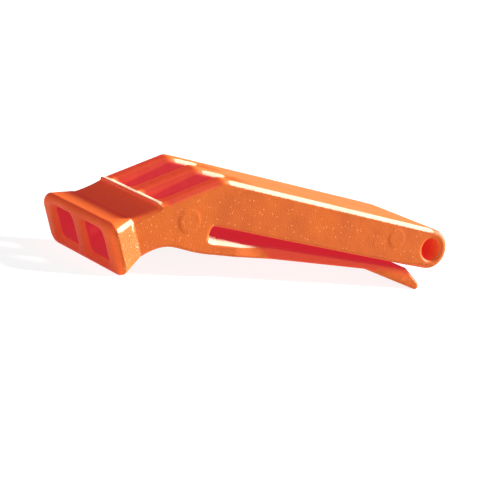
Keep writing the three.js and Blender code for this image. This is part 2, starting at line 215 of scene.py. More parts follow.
def body_outline():
    """Closed outline of the body from the side: straight runs and curves, clockwise from the neck's top."""
    past_root = tail_place(ROOT + ROOT_OVERLAP, SLIT_BOTTOM)
    chin_rear = belly(ROOT_BELLY[0] - CHIN_REACH)
    chin_front = front_place(NECK_FRONT, NECK_BOTTOM)
    chin_slope = np.array([math.cos(CHIN_RISE), math.sin(CHIN_RISE)])
    crest = front_place(RIDGE_BACK - RIDGE_STEP, -CREST_HEIGHT)
    return np.concatenate([
        [front_place(NECK_FRONT + INSIDE_LIP, NECK_TOP)],
        bezier(front_place(NECK_FRONT, NECK_TOP),
               front_place((NECK_FRONT + RIDGE_BACK) / 2, NECK_TOP + 2 * NECK_DISH),
               front_place(RIDGE_BACK, RIDGE_STEP)),
        [crest],
        [front_place(RIDGE_BACK - RIDGE_STEP - CREST_RUN, 0)],
        bezier(front_place(APEX_ROUND, 0), np.zeros(2), tail_place(APEX_ROUND, 0)),
        arc(HOLE, TAIL_THICKNESS / 2, UPRIGHT, UPRIGHT - math.pi),
        arc(tail_place(SLIT_CENTRE, SLIT_MIDDLE), SLIT_ROOT / 2, UPRIGHT, UPRIGHT + math.pi),
        [past_root, belly(past_root[0])],
        bezier(chin_rear, belly(chin_rear[0] - CHIN_REAR_HANDLE),
               chin_front + chin_slope * CHIN_FRONT_HANDLE, chin_front),
        [front_place(NECK_FRONT + INSIDE_LIP, NECK_BOTTOM)],
    ])


print("body outline has", len(body_outline()), "points")

# %% [markdown]
# The air spaces
#
# Air goes in at the mouth, through a flat windway and across the window to a sharp blade, and part of it
# turns down into the chamber in the tail. From the side these spaces are one outline, the same left and
# right, so one list of corners serves both.

# %% Outline of the windway, window and chamber
DUCT_HEIGHT = 1.9
WINDWAY_HEIGHT = 1.1
WINDWAY_ROOF = 2.5
BLOCK_THICKNESS = 1.1
WINDOW_FRONT = 9.3
WINDOW_LENGTH = 4.0
BLADE_EDGE = 0.4
BLADE_PLATE = 0.9
BLADE_TAPER = 2.7
CHAMBER_WALL = 1.5
CHAMBER_LENGTH = 34.0
CHIN_WALL = 1.3
SLIT_WALL = 0.8
WINDWAY_FLOOR = WINDWAY_ROOF + WINDWAY_HEIGHT
SLOT_DEPTH = WINDWAY_ROOF + WINDWAY_HEIGHT / 2
BLOCK_SEAT = WINDWAY_FLOOR + BLOCK_THICKNESS
DUCT_ROOF = WINDWAY_FLOOR - DUCT_HEIGHT
BLADE_FRONT = WINDOW_FRONT - WINDOW_LENGTH


def airway_outline():
    """Closed outline of the air inside one side of the body: corners joined by straight runs."""
    bend = FRONT_RISE + TAIL_FALL
    under = SLOT_DEPTH + BLADE_PLATE
    before_slit = tail_place(SLIT_FRONT - SLIT_WALL, SLIT_MIDDLE)
    over_slit = SLIT_CENTRE + SLIT_ROOT
    return np.array([
        front_place(NECK_FRONT + INSIDE_LIP, DUCT_ROOF),
        front_place(NECK_FRONT, DUCT_ROOF),
        front_place(WINDOW_FRONT, WINDWAY_ROOF),
        front_place(BLADE_FRONT, WINDWAY_ROOF),
        front_place(BLADE_FRONT, SLOT_DEPTH + BLADE_EDGE),
        front_place(BLADE_FRONT - BLADE_TAPER, under),
        tail_place((under - CHAMBER_WALL * math.cos(bend)) / math.sin(bend), CHAMBER_WALL),
        tail_place(CHAMBER_LENGTH, CHAMBER_WALL),
        tail_place(CHAMBER_LENGTH, tail_under(CHAMBER_LENGTH) - CHAMBER_WALL),
        tail_place(over_slit, tail_under(over_slit) - CHAMBER_WALL),
        tail_place(SLIT_CENTRE, TAIL_ROOT_THICKNESS - SLIT_WALL),
        before_slit,
        np.array([before_slit[0], belly(before_slit[0])[1] + CHIN_WALL]),
        front_place(WINDOW_FRONT, BLOCK_SEAT),
        front_place(NECK_FRONT, BLOCK_SEAT),
        front_place(NECK_FRONT, WINDWAY_FLOOR),
        front_place(NECK_FRONT + INSIDE_LIP, WINDWAY_FLOOR),
    ])


print("airway outline has", len(airway_outline()), "points")

# %% [markdown]
# Distance tables
#
# A moulded body whose edges change from sharp to soft, and that slots, mouths and a bore run through, has
# no one pair of parameters to draw it with. It is described instead by its signed distance: below zero
# inside, above zero outside. From the side that is the distance to an outline, and because it is asked for
# very often it is worked out once on a fine grid and then read from that table.

# %% Distance to an outline
TABLE_STEP = 0.1
TABLE_X = (-24.0, 50.0)
TABLE_Z = (-19.0, 4.0)
LAST_CELL = 1.001
TINY = 1e-12
table_x = np.arange(*TABLE_X, TABLE_STEP)
table_z = np.arange(*TABLE_Z, TABLE_STEP)


def outline_distance(outline, x, z):
    """Least distance to the outline's steps, negative where an odd number of them lies to one side."""
    nearest = np.full(np.broadcast(x, z).shape, np.inf)
    inside = np.zeros(nearest.shape, bool)
    for (start_x, start_z), (end_x, end_z) in zip(outline, np.roll(outline, -1, axis=0)):
        run_x, run_z = end_x - start_x, end_z - start_z
        from_x, from_z = x - start_x, z - start_z
        share = np.clip((from_x * run_x + from_z * run_z) / (run_x**2 + run_z**2 + TINY), 0, 1)
        nearest = np.minimum(nearest, (from_x - share * run_x)**2 + (from_z - share * run_z)**2)
        level_crossed = (start_z <= z) != (end_z <= z)
        inside ^= level_crossed & (from_x < from_z * run_x / (run_z or 1.0))
    return np.where(inside, -1, 1) * np.sqrt(nearest)


def read_table(table, x, z):
    """Bilinear reading of a table: the four nearest entries, weighted by how close they are."""
    column = np.clip((x - table_x[0]) / TABLE_STEP, 0, len(table_x) - LAST_CELL)
    row = np.clip((z - table_z[0]) / TABLE_STEP, 0, len(table_z) - LAST_CELL)
    i, j = column.astype(int), row.astype(int)
    u, v = column - i, row - j
    near = table[i, j] * (1 - v) + table[i, j + 1] * v
    far = table[i + 1, j] * (1 - v) + table[i + 1, j + 1] * v
    return near * (1 - u) + far * u


body_table = outline_distance(body_outline(), table_x[:, None], table_z[None, :])
airway_table = outline_distance(airway_outline(), table_x[:, None], table_z[None, :])
print("tables of", body_table.shape, "entries")

# %% [markdown]
# Joining and cutting with rounded edges
#
# Two solids given by distances are intersected by taking the larger distance, and united by taking the
# smaller. Swapping the sharp corner of that choice for a quarter circle rounds the edge where they meet, by
# any radius, even one that changes from place to place. That is how the soft front edges and the crisp tail
# edges are made.

# %% Distance helpers
BEVEL_LEAN = math.radians(35)
BEVEL_TOP = math.sin(BEVEL_LEAN)
BEVEL_SIDE = math.cos(BEVEL_LEAN)


def rounded_join(a, b, radius):
    """Intersection of two solids with the edge between them rounded by a quarter circle of the radius."""
    a, b = a + radius, b + radius
    return np.minimum(np.maximum(a, b), 0) + np.hypot(np.maximum(a, 0), np.maximum(b, 0)) - radius


def bevel_join(a, b, size):
    """Intersection of two solids with the edge between them cut flat, leaning towards the second."""
    return np.maximum(np.maximum(a, b), BEVEL_TOP * a + BEVEL_SIDE * b + size)


def soft_union(a, b, width):
    """Union with a fillet: the smaller distance, less a parabola where the two are nearly equal."""
    near = np.maximum(width - np.abs(a - b), 0) / width
    return np.minimum(a, b) - near**2 * width / 4


def rounded_rectangle(u, v, half_u, half_v, corner):
    """Distance to a rectangle with round corners: the distance to a smaller one, less the corner radius."""
    out_u, out_v = np.abs(u) - half_u + corner, np.abs(v) - half_v + corner
    beyond = np.hypot(np.maximum(out_u, 0), np.maximum(out_v, 0))
    return np.minimum(np.maximum(out_u, out_v), 0) + beyond - corner


def ease(value, start, stop):
    """Smooth step from 0 at start to 1 at stop: three times the square of the share, less twice its cube."""
    t = np.clip((value - start) / (stop - start), 0, 1)
    return t * t * (3 - 2 * t)


def mix(a, b, share):
    """The share of the way from a to b: a plus the share times their difference."""
    return a + (b - a) * share


print("a sharp corner stands", round(float(rounded_join(0.0, 0.0, 1.0)), 3), "radii outside its round one")

# %% [markdown]
# Edges of the body
#
# The real edges aren't alike: soft round the front, flat and shiny along the tail's top and below the slit,
# and round again at the barrel. One radius for all could be had from a Bevel modifier, but here it has to
# change along the body, so each edge size gets a share that fades in and out over a named range.

# %% Edge radius and bevels
FRONT_EDGE = 1.0
FRONT_EDGE_X = (4.5, -1.5)
FRONT_EDGE_DEPTH = (4.5, 2.0)
TAIL_EDGE = 0.6
UNDER_EDGE = 0.4
UNDER_EDGE_DEPTH = (3.0, 4.5)
UNDER_EDGE_X = (-8.0, -3.0)
BARREL_EDGE = 0.9
BARREL_EDGE_ALONG = (38.0, 42.5)
TAIL_BEVEL_START = (0.5, 2.5)
TAIL_BEVEL_STOP = (TAIL_LENGTH + 0.5, TAIL_LENGTH - 3.0)
TAIL_BEVEL_DEPTH = (2.5, 1.0)
SLIT_BEVEL_DEPTH = (SLIT_MIDDLE, SLIT_MIDDLE + 0.8)
SLIT_BEVEL_START = (SLIT_FRONT - 0.5, SLIT_FRONT + 0.5)


def edge_radius(x, z):
    """Radius of the side edges: the tail's, mixed with those of the underside, the front and the barrel."""
    depth = front_reading(x, z)[1]
    along, tail_depth = tail_reading(x, z)
    front_share = ease(x, *FRONT_EDGE_X) * ease(depth, *FRONT_EDGE_DEPTH)
    under_share = ease(tail_depth, *UNDER_EDGE_DEPTH) * ease(x, *UNDER_EDGE_X)
    straight = mix(mix(TAIL_EDGE, UNDER_EDGE, under_share), FRONT_EDGE, front_share)
    return mix(straight, BARREL_EDGE, ease(along, *BARREL_EDGE_ALONG))


def tail_bevel_share(x, z):
    """One along the tail's top edges, where they are cut flat, fading out at the apex and the barrel."""
    along, depth = tail_reading(x, z)
    return ease(along, *TAIL_BEVEL_START) * ease(along, *TAIL_BEVEL_STOP) * ease(depth, *TAIL_BEVEL_DEPTH)


def slit_bevel_share(x, z):
    """One below the slit's middle, fading out in front of its round end."""
    along, depth = tail_reading(x, z)
    return ease(depth, *SLIT_BEVEL_DEPTH) * ease(along, *SLIT_BEVEL_START)


def slit_solid(x, z):
    """Distance to the slit's wall: the slit's radius less the distance to its middle line."""
    along, depth = tail_reading(x, z)
    return SLIT_ROOT / 2 - np.hypot(np.minimum(along - SLIT_CENTRE, 0), depth - SLIT_MIDDLE)


front_and_tail = (front_place(WINDOW_FRONT, 0), tail_place(TAIL_LENGTH / 2, 0))
print("edge radius in front and on the tail:", [float(edge_radius(*place)) for place in front_and_tail])

# %% [markdown]
# The lip
#
# The lip that is bitten on flares from the neck and rounds over at the front. It could be lofted through a
# few sections, but as a distance it melts into the body without a seam: a rounded rectangle that grows with
# its distance from the neck. The pins that push the moulding out leave two faint round marks on its side.

# %% Lip and pin marks
LIP_WIDTH = 24.0
LIP_ABOVE = 0.55
LIP_CORNER_REAR = 0.5
LIP_CORNER_FRONT = 2.2
LIP_LEAST_SHARE = -0.5
MARK_HEIGHT = 0.055
MARK_RIM = 0.3
MARKS = ((front_place(7.2, 4.3), 2.0), (tail_place(35.5, 2.8), 1.7))


def lip_share(forward):
    """How far the lip has flared: zero at its rear edge, one where its round front begins."""
    return np.clip((forward - CAP_REAR) / (LIP_FRONT - LIP_ROUND - CAP_REAR), LIP_LEAST_SHARE, 1)


def lip_corner(share):
    """Radius of the lip's corners, which grows with the flare."""
    return mix(LIP_CORNER_REAR, LIP_CORNER_FRONT, np.clip(share, 0, 1))


def lip_field(x, y, z):
    """Rounded rectangle that grows evenly towards the mouth and rounds over at the front."""
    forward, depth = front_reading(x, z)
    share = lip_share(forward)
    half = mix(HALF_BODY, LIP_WIDTH / 2, share)
    top, bottom = mix(NECK_TOP, -LIP_ABOVE, share), mix(NECK_BOTTOM, LIP_BELOW, share)
    across = rounded_rectangle(y, depth - (top + bottom) / 2, half, (bottom - top) / 2, lip_corner(share))
    return np.maximum(rounded_join(across, forward - LIP_FRONT, LIP_ROUND), CAP_REAR - forward)


def mark_height(x, y, z):
    """Height of the pin marks on the right-hand side: a low plateau with a soft rim."""
    height = 0
    for (centre_x, centre_z), radius in MARKS:
        away = np.hypot(x - centre_x, z - centre_z)
        height = height + MARK_HEIGHT * ease(away, radius, radius - MARK_RIM)
    return height * (y < 0)


print("lip corners grow from", LIP_CORNER_REAR, "to", LIP_CORNER_FRONT, "mm")

# %% [markdown]
# Mouths and slots
#
# The two mouths are funnels on either side of a divider, and the two windows are troughs with round floors
# that run out through the tail's top. Each pair is the same left and right, so only the distance from the
# middle is looked at, never its sign.

# %% Mouths and slots
MOUTH_WIDTH = 16.4
MOUTH_HEIGHT = 5.6
MOUTH_CORNER = 0.9
MOUTH_OVERRUN = 0.5
DIVIDER_EDGE = 3.8
FLARE_SHRINK = 0.93
SLOT_FRONT = 9.9
SLOT_INNER = 2.0
SLOT_FLOOR_ROUND = 0.3


def mouth_field(x, y, z):
    """Two funnels beside the divider: rounded rectangles that narrow from the lip to the windway."""
    forward, depth = front_reading(x, z)
    share = (forward - CAP_REAR) / (LIP_FRONT - CAP_REAR)
    middle = (LIP_BELOW - LIP_ABOVE) / 2
    inner, outer = mix(HALF_PLATE, DIVIDER_EDGE / 2, share), mix(POCKET_SIDE, MOUTH_WIDTH / 2, share)
    top = mix(DUCT_ROOF, middle - MOUTH_HEIGHT / 2, share)
    bottom = mix(WINDWAY_FLOOR, middle + MOUTH_HEIGHT / 2, share)
    corner = mix(MOUTH_CORNER / 2, MOUTH_CORNER, np.clip(share, 0, 1))
    aside, below = np.abs(y) - (inner + outer) / 2, depth - (top + bottom) / 2
    across = rounded_rectangle(aside, below, (outer - inner) / 2, (bottom - top) / 2, corner)
    return np.maximum(across * FLARE_SHRINK, CAP_REAR - MOUTH_OVERRUN - forward)


def slot_field(x, y, z):
    """Two troughs with round floors that start at the window's front and are open above."""
    forward, depth = front_reading(x, z)
    half_width = (POCKET_SIDE - SLOT_INNER) / 2
    off_middle = np.abs(y) - SLOT_INNER - half_width
    trough = rounded_rectangle(off_middle, depth, half_width, SLOT_DEPTH, SLOT_FLOOR_ROUND)
    trough = np.where(depth < 0, np.abs(off_middle) - half_width, trough)
    return rounded_join(trough, forward - SLOT_FRONT, SLOT_FLOOR_ROUND)


print("slots", round(POCKET_SIDE - SLOT_INNER, 2), "mm wide and", SLOT_DEPTH, "mm deep")

# %% [markdown]
# The moulding as one distance
#
# The welded body is one continuous skin to the eye, so it is described as one field and parted afterwards
# where its layers meet. The outline is carried across the width and joined to the lip. The slots are cut
# from it with wide soft rims, then the mouths, the air spaces and the bore are taken away.

# %% Field of the whole body
TAIL_BEVEL = 0.36
SLIT_BEVEL = 1.2
LIP_FILLET = 0.2
SLOT_EDGE = 1.2
MOUTH_EDGE = 1.2
AIRWAY_ROUND = 0.3
BLADE_ROUND = 0.12
HOLE_EDGE = 0.55
PLATE_RELIEF = 0.12
SKIN_INSET = 0.012


def outer_form(x, y, z):
    """The body before anything is cut from it: the outline across the width, with its edges, and the lip."""
    sides = np.abs(y) - HALF_BODY - mark_height(x, y, z)
    profile = read_table(body_table, x, z)
    body = rounded_join(profile, sides, edge_radius(x, z))
    body = mix(body, bevel_join(profile, sides, TAIL_BEVEL), tail_bevel_share(x, z))
    slit_bevel = bevel_join(slit_solid(x, z), sides, SLIT_BEVEL * BEVEL_TOP)
    body = mix(body, np.maximum(body, slit_bevel), slit_bevel_share(x, z))
    return soft_union(body, lip_field(x, y, z), LIP_FILLET) + SKIN_INSET


def bore_distance(x, z):
    """Distance from the wall of the lanyard hole: from its middle, less its radius."""
    return np.hypot(x - HOLE[0], z - HOLE[1]) - HOLE_RADIUS


def moulding(x, y, z):
    """Signed distance of the whole body: the outer form less slots, mouths, air spaces and bore."""
    solid = rounded_join(outer_form(x, y, z), -slot_field(x, y, z), SLOT_EDGE)
    solid = rounded_join(solid, -mouth_field(x, y, z), MOUTH_EDGE)
    pocket_middle = (HALF_PLATE - PLATE_RELIEF + POCKET_SIDE) / 2
    pocket = np.abs(np.abs(y) - pocket_middle) - POCKET_SIDE + pocket_middle
    airway = rounded_join(read_table(airway_table, x, z), pocket, AIRWAY_ROUND)
    solid = rounded_join(solid, -airway, BLADE_ROUND)
    return rounded_join(solid, -bore_distance(x, z), HOLE_EDGE)


side_x, side_z = tail_place(TAIL_LENGTH / 2, TAIL_THICKNESS / 2)
print("a point on the side face reads", round(float(moulding(side_x, -HALF_BODY, side_z)), 4), "mm")

# %% [markdown]
# From a distance to a mesh
#
# The field is sampled on a regular grid. Every grid cell that the surface passes through gets one vertex,
# at the middle of the places where the surface crosses the cell's edges, and every grid edge that is
# crossed joins the four cells round it into one quad. All cells are handled at once as arrays.

# %% Surface net
GRID_STEP = 0.22
GRID_LOW = np.array([-22.5, -12.6, -16.6])
GRID_HIGH = np.array([48.0, 12.3, 0.8])


def surface_net(values, low, step):
    """One vertex for each cell with both signs at its corners, one quad for each crossed grid edge."""
    inside = values < 0
    corners = [(i, j, k) for i in (0, 1) for j in (0, 1) for k in (0, 1)]
    shape = [n - 1 for n in values.shape]

    def at_corner(array, corner):
        """The entries at one corner of every cell."""
        return array[tuple(slice(c, c + n) for c, n in zip(corner, shape))]

    filled = sum(at_corner(inside, corner).astype(np.uint8) for corner in corners)
    both = (filled > 0) & (filled < len(corners))
    number = np.full(shape, -1, np.int64)
    number[both] = np.arange(both.sum())
    at = np.stack([at_corner(values, corner)[both] for corner in corners], axis=1)
    total, hits = np.zeros((len(at), 3)), np.zeros((len(at), 1))
    for a, start in enumerate(corners):
        for b, stop in enumerate(corners):
            if b > a and sum(abs(s - t) for s, t in zip(start, stop)) == 1:
                crossed = (at[:, a] < 0) != (at[:, b] < 0)
                share = np.where(crossed, at[:, a] / np.where(crossed, at[:, a] - at[:, b], 1), 0)[:, None]
                total += crossed[:, None] * (np.array(start) + share * (np.array(stop) - np.array(start)))
                hits += crossed[:, None]
    points = low + step * (np.argwhere(both) + total / hits)
    quads = []
    for axis in range(3):
        order = (axis, (axis + 1) % 3, (axis + 2) % 3)
        turned, cells = inside.transpose(order), number.transpose(order)
        lower, upper = turned[:-1, 1:-1, 1:-1], turned[1:, 1:-1, 1:-1]
        i, j, k = np.nonzero(lower != upper)
        ring = [cells[i, j, k], cells[i, j + 1, k], cells[i, j + 1, k + 1], cells[i, j, k + 1]]
        ring = np.stack(ring, axis=1)
        quads.append(np.where(lower[i, j, k][:, None], ring, ring[:, ::-1]))
    return points, np.concatenate(quads)


grid_x, grid_y, grid_z = [np.arange(low, high, GRID_STEP) for low, high in zip(GRID_LOW, GRID_HIGH)]
values = moulding(grid_x[:, None, None], grid_y[None, :, None], grid_z[None, None, :])
skin_points, skin_quads = surface_net(values, GRID_LOW, GRID_STEP)
print("skin of", len(skin_points), "points and", len(skin_quads), "quads from", values.size, "samples")

# %% [markdown]
# Smoothing the net
#
# The net's vertices lie near the surface but not on it, and unevenly. They are slid down the field until
# they lie on the surface, evened out among their neighbours and slid again, which makes the skin smooth at
# any zoom. A Smooth modifier would even them out too, but it would wear the crisp edges away.

# %% Settle the skin
SLOPE_REACH = 0.02
LEAST_SLOPE = 0.2
SETTLE_ROUNDS = 3


def slope_of(field, points):
    """Gradient of a field by central differences."""
    steps = np.eye(3) * SLOPE_REACH
    rises = [field(*(points + s).T) - field(*(points - s).T) for s in steps]
    return np.stack(rises, axis=1) / (2 * SLOPE_REACH)


def settle(field, points):
    """Newton steps along the gradient: the distance times the slope over the slope's square."""
    for _ in range(SETTLE_ROUNDS):
        slope = slope_of(field, points)
        square = np.maximum((slope**2).sum(axis=1, keepdims=True), LEAST_SLOPE)
        move = field(*points.T)[:, None] * slope / square
        points = points - np.clip(move, -GRID_STEP / 2, GRID_STEP / 2)
    return points


def even_out(points, quads):
    """Every point moves halfway to the mean of its neighbours along the quads' edges."""
    starts, stops = quads.ravel(), np.roll(quads, -1, axis=1).ravel()
    count = len(points)
    links = np.bincount(starts, minlength=count) + np.bincount(stops, minlength=count)
    sums = [np.bincount(starts, points[stops, axis], count) + np.bincount(stops, points[starts, axis], count)
            for axis in range(3)]
    return (points + np.stack(sums, axis=1) / links[:, None]) / 2


skin_points = settle(moulding, skin_points)
skin_points = settle(moulding, even_out(skin_points, skin_quads))
print("farthest from the surface:", float(np.abs(moulding(*skin_points.T)).max().round(4)), "mm")

# %% [markdown]
# Tools for parting the skin
#
# The real whistle is welded from a mouthpiece, two shells and a plate between them. The skin is cut by the
# planes where these meet, and each cut is closed, so that every piece is a solid of its own and the seams
# stay flush. Bisecting keeps the cut exactly flat, where a Boolean could leave slivers, and the cut's edges
# are marked sharp so that it doesn't bend the shading.

# %% Mesh and cut
CUT_TOLERANCE = 1e-7


def new_mesh(name, points, faces):
    """Mesh from an array of points in millimetres from the apex and an array of quads."""
    mesh = bpy.data.meshes.new(name)
    mesh.vertices.add(len(points))
    mesh.vertices.foreach_set("co", ((points + APEX) * MM).astype(np.float32).ravel())
    mesh.loops.add(faces.size)
    mesh.loops.foreach_set("vertex_index", faces.astype(np.int32).ravel())
    mesh.polygons.add(len(faces))
    mesh.polygons.foreach_set("loop_start", np.arange(0, faces.size, faces.shape[1], dtype=np.int32))
    mesh.update(calc_edges=True)
    return mesh


def in_frame(place, y=0.0):
    """Side-view point in millimetres from the apex, in metres in the frame."""
    return Vector((np.array([place[0], y, place[1]]) + APEX) * MM)


def cut(shape, point, outward, chosen=None):
    """Takes away what lies on the outward side of a plane and closes the cut."""
    faces = [f for f in shape.faces if chosen is None or chosen(f.calc_center_median())]
    edges = dict.fromkeys(e for f in faces for e in f.edges)
    verts = dict.fromkeys(v for f in faces for v in f.verts)
    made = bmesh.ops.bisect_plane(shape, geom=[*verts, *edges, *faces], dist=CUT_TOLERANCE, plane_co=point,
                                  plane_no=outward, clear_outer=True)
    rim = [e for e in made["geom_cut"] if isinstance(e, bmesh.types.BMEdge)]
    bmesh.ops.triangle_fill(shape, use_beauty=True, edges=rim, normal=outward)
    for edge in rim:
        edge.smooth = False


def make_piece(name, shape):
    """Object of a closed shape whose faces point outwards, shaded smooth between its sharp edges."""
    bmesh.ops.recalc_face_normals(shape, faces=shape.faces[:])
    if shape.calc_volume(signed=True) < 0:
        bmesh.ops.reverse_faces(shape, faces=shape.faces[:])
    open_edges = sum(e.is_boundary for e in shape.edges)
    mesh = bpy.data.meshes.new(name)
    shape.to_mesh(mesh)
    mesh.shade_smooth()
    piece = bpy.data.objects.new(name, mesh)
    bpy.context.scene.collection.objects.link(piece)
    print(name, len(mesh.polygons), "faces,", open_edges, "open edges")
    return piece


skin = new_mesh("skin", skin_points, skin_quads)
print("skin mesh of", len(skin.polygons), "faces")

# %% [markdown]
# Parting the skin into its layers
#
# The mouthpiece is closed behind the lip, and the rest is cut lengthwise at both faces of the plate. The
# stub of the tongue is cut off at its root, because the spring clip takes over there. A hair of a gap at
# each seam keeps neighbours from sharing a face.

# %% Cut the pieces
SEAM = 0.01
NECK_SEAM = (NECK_FRONT + CAP_REAR) / 2
forward_axis = Vector((-math.cos(FRONT_RISE), 0, -math.sin(FRONT_RISE)))
tail_axis = Vector((math.cos(TAIL_FALL), 0, -math.sin(TAIL_FALL)))
depth_axis = Vector((-math.sin(TAIL_FALL), 0, -math.cos(TAIL_FALL)))
side_axis = Vector((0, 1, 0))
below_slit = in_frame(tail_place(0, SLIT_MIDDLE))


def is_tongue(point):
    """True below the slit's middle and behind its round end."""
    reach = point - below_slit
    return reach.dot(depth_axis) > 0 and reach.dot(tail_axis) > SLIT_CENTRE * MM


def layer(*planes):
    """Copy of the skin without the tongue's stub, cut by the planes given as point and outward direction."""
    shape = bmesh.new()
    shape.from_mesh(skin)
    cut(shape, in_frame(tail_place(ROOT, SLIT_BOTTOM)), tail_axis, is_tongue)
    for point, outward in planes:
        cut(shape, point, outward)
    return shape


def beside(y):
    """Point in the upright plane that lies sideways by y from the middle."""
    return in_frame((0, 0), y)


before_neck = (in_frame(front_place(NECK_SEAM + SEAM, 0)), -forward_axis)
behind_neck = (in_frame(front_place(NECK_SEAM - SEAM, 0)), forward_axis)
mouthpiece = make_piece("mouthpiece", layer(before_neck))
right_half = make_piece("right_half", layer(behind_neck, (beside(-HALF_PLATE - SEAM), side_axis)))
left_half = make_piece("left_half", layer(behind_neck, (beside(HALF_PLATE + SEAM), -side_axis)))
plate = make_piece("middle_plate", layer(behind_neck, (beside(HALF_PLATE - SEAM), side_axis),
                                         (beside(-HALF_PLATE + SEAM), -side_axis)))
for piece, solid in ((mouthpiece, "mouthpiece_cap"), (right_half, "right_shell"), (left_half, "left_shell"),
                     (plate, "centre_plate")):
    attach(piece, "body")
    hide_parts(solid)

# %% [markdown]
# Tools for a loft
#
# The tongue is a rounded rectangle carried along the tail: one parameter runs round the section, the other
# from the root to the tip. The section's upper corners are flat bevels, as below the slit, and its lower
# ones are arcs. A support point beside each corner's end keeps the smooth shading from bending the flats.

# %% Section and loft
CORNER_STEPS = 7
SUPPORT = 0.25


def section_ring(half_u, half_v, corner_high, corner_low):
    """Points of rectangles, one row for each: bevels above, arcs below, with support points beside them."""
    quarter = np.linspace(0, np.pi / 2, CORNER_STEPS)
    arc_u, arc_v = np.cos(quarter), np.sin(quarter)
    flat_u, flat_v = np.linspace(1, 0, CORNER_STEPS), np.linspace(0, 1, CORNER_STEPS)
    shift_u = np.concatenate([np.zeros(CORNER_STEPS + 1), [SUPPORT]])
    shift_v = np.concatenate([[SUPPORT], np.zeros(CORNER_STEPS + 1)])
    rows = []
    for sign_u, sign_v in ((1, 1), (-1, 1), (-1, -1), (1, -1)):
        low = sign_v > 0
        corner = corner_low if low else corner_high
        lean = 1.0 if low else BEVEL_TOP / BEVEL_SIDE
        cosine = np.concatenate([[1.0], arc_u if low else flat_u, [0.0]])
        sine = np.concatenate([[0.0], arc_v if low else flat_v, [1.0]])
        step = 1 if sign_u == sign_v else -1
        u = sign_u * (half_u[:, None] - corner[:, None] * lean * (1 - cosine + shift_u))
        v = sign_v * (half_v[:, None] - corner[:, None] * (1 - sine + shift_v))
        rows.append(np.stack([u, v], axis=2)[:, ::step])
    return np.concatenate(rows, axis=1)


def loft(name, rings):
    """Closed skin over rings of equal length, with a flat end on the first and the last."""
    stations, count = rings.shape[:2]
    index = np.arange(stations * count).reshape(stations, count)
    after = np.roll(index, -1, axis=1)
    quads = np.stack([index[:-1], after[:-1], after[1:], index[1:]], axis=2).reshape(-1, 4)
    mesh = new_mesh(name, rings.reshape(-1, 3), quads)
    shape = bmesh.new()
    shape.from_mesh(mesh)
    shape.verts.ensure_lookup_table()
    for ring in (index[0], index[-1]):
        end = shape.faces.new([shape.verts[i] for i in ring])
        for edge in end.edges:
            edge.smooth = False
    return make_piece(name, shape)


print("a section has", 4 * (CORNER_STEPS + 2), "points")

# %% [markdown]
# The spring clip
#
# The tongue grows out of the chin below the slit, thins and narrows towards its end and turns down into a
# wedge foot with round corners.

# %% Clip as a loft
CLIP_NARROW = 1.3
FOOT_NARROW = 0.35
NARROW_START = 4.0
NARROW_STOP = 12.0
CLIP_CORNER = 0.35
CLIP_STATIONS = 160
STATION_CROWDING = 0.8
THINNEST = 0.04
HIGH_CORNER_LIMIT = 0.55
LOW_CORNER_LIMIT = 0.4
SOFT_RUN = 10.0
SLIT_LEVEL = 5.0
SLIT_TIP = 0.5
FOOT_FACE_RUN = 3.5
FOOT_NOSE = 0.8
FOOT_CORNER = 0.8


def clip_profile():
    """Along, top depth, bottom depth and half width: straight runs, a round nose and round plan corners."""
    tip_along, tip_depth = tail_reading(FOOT_TIP, REST_LEVEL + FOOT_NOSE)
    low_along, low_depth = tail_reading(FOOT_TIP - FOOT_NOSE, REST_LEVEL + SKIN_INSET)
    face_x = FOOT_TIP - FOOT_FACE_RUN
    face_depth = tail_under(TAIL_LENGTH - FOOT_SHORT - FOOT_FACE_RUN) + SLIT_TIP
    face_along = (face_x + face_depth * math.sin(TAIL_FALL)) / math.cos(TAIL_FALL)
    start_along, start_depth = tail_reading(*FOOT_START)
    root_x = tail_place(ROOT, SLIT_BOTTOM)[0]
    root_depth = tail_reading(*belly(root_x))[1]
    crowded = np.linspace(0, 1, CLIP_STATIONS)**STATION_CROWDING
    along = ROOT + SEAM + (tip_along - SKIN_INSET - ROOT) * crowded
    top = np.interp(along, [ROOT, ROOT + SLIT_LEVEL, face_along, tip_along],
                    [SLIT_BOTTOM, SLIT_BOTTOM, face_depth, tip_depth]) + SKIN_INSET
    bottom = np.interp(along, [ROOT, start_along, low_along], [root_depth, start_depth, low_depth])
    nose = np.clip((along - low_along) / (tip_along - low_along), 0, 1)
    bottom = bottom - (low_depth - tip_depth) * (1 - np.sqrt(1 - nose**2))
    narrowing = np.interp(along, [ROOT + NARROW_START, ROOT + NARROW_STOP, tip_along],
                          [0, CLIP_NARROW, FOOT_NARROW])
    half = HALF_BODY - SKIN_INSET - narrowing
    turn = np.clip((along - tip_along + FOOT_CORNER) / FOOT_CORNER, 0, 1)
    return along, top, bottom, half - FOOT_CORNER * (1 - np.sqrt(1 - turn**2))


def crispness(along):
    """Zero at the clip's root, where its top edges carry on the slit's bevel, rising evenly to one."""
    return np.clip((along - ROOT) / SOFT_RUN, 0, 1)


def clip_rings():
    """Sections square to the tail, whose top edges start soft at the root and turn crisp further on."""
    along, top, bottom, half = clip_profile()
    thick = np.maximum(bottom - top, THINNEST)
    corner_high = mix(SLIT_BEVEL, CLIP_CORNER, crispness(along))
    corner_high = np.minimum(corner_high, thick * HIGH_CORNER_LIMIT)
    ring = section_ring(half, thick / 2, corner_high, np.minimum(UNDER_EDGE, thick * LOW_CORNER_LIMIT))
    depth = ring[:, :, 1] + ((top + bottom) / 2)[:, None]
    x, z = tail_place(along[:, None], depth)
    return np.stack([x, ring[:, :, 0], z], axis=2)


clip = loft("spring_clip", clip_rings())
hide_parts("clip_tongue")
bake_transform(clip)
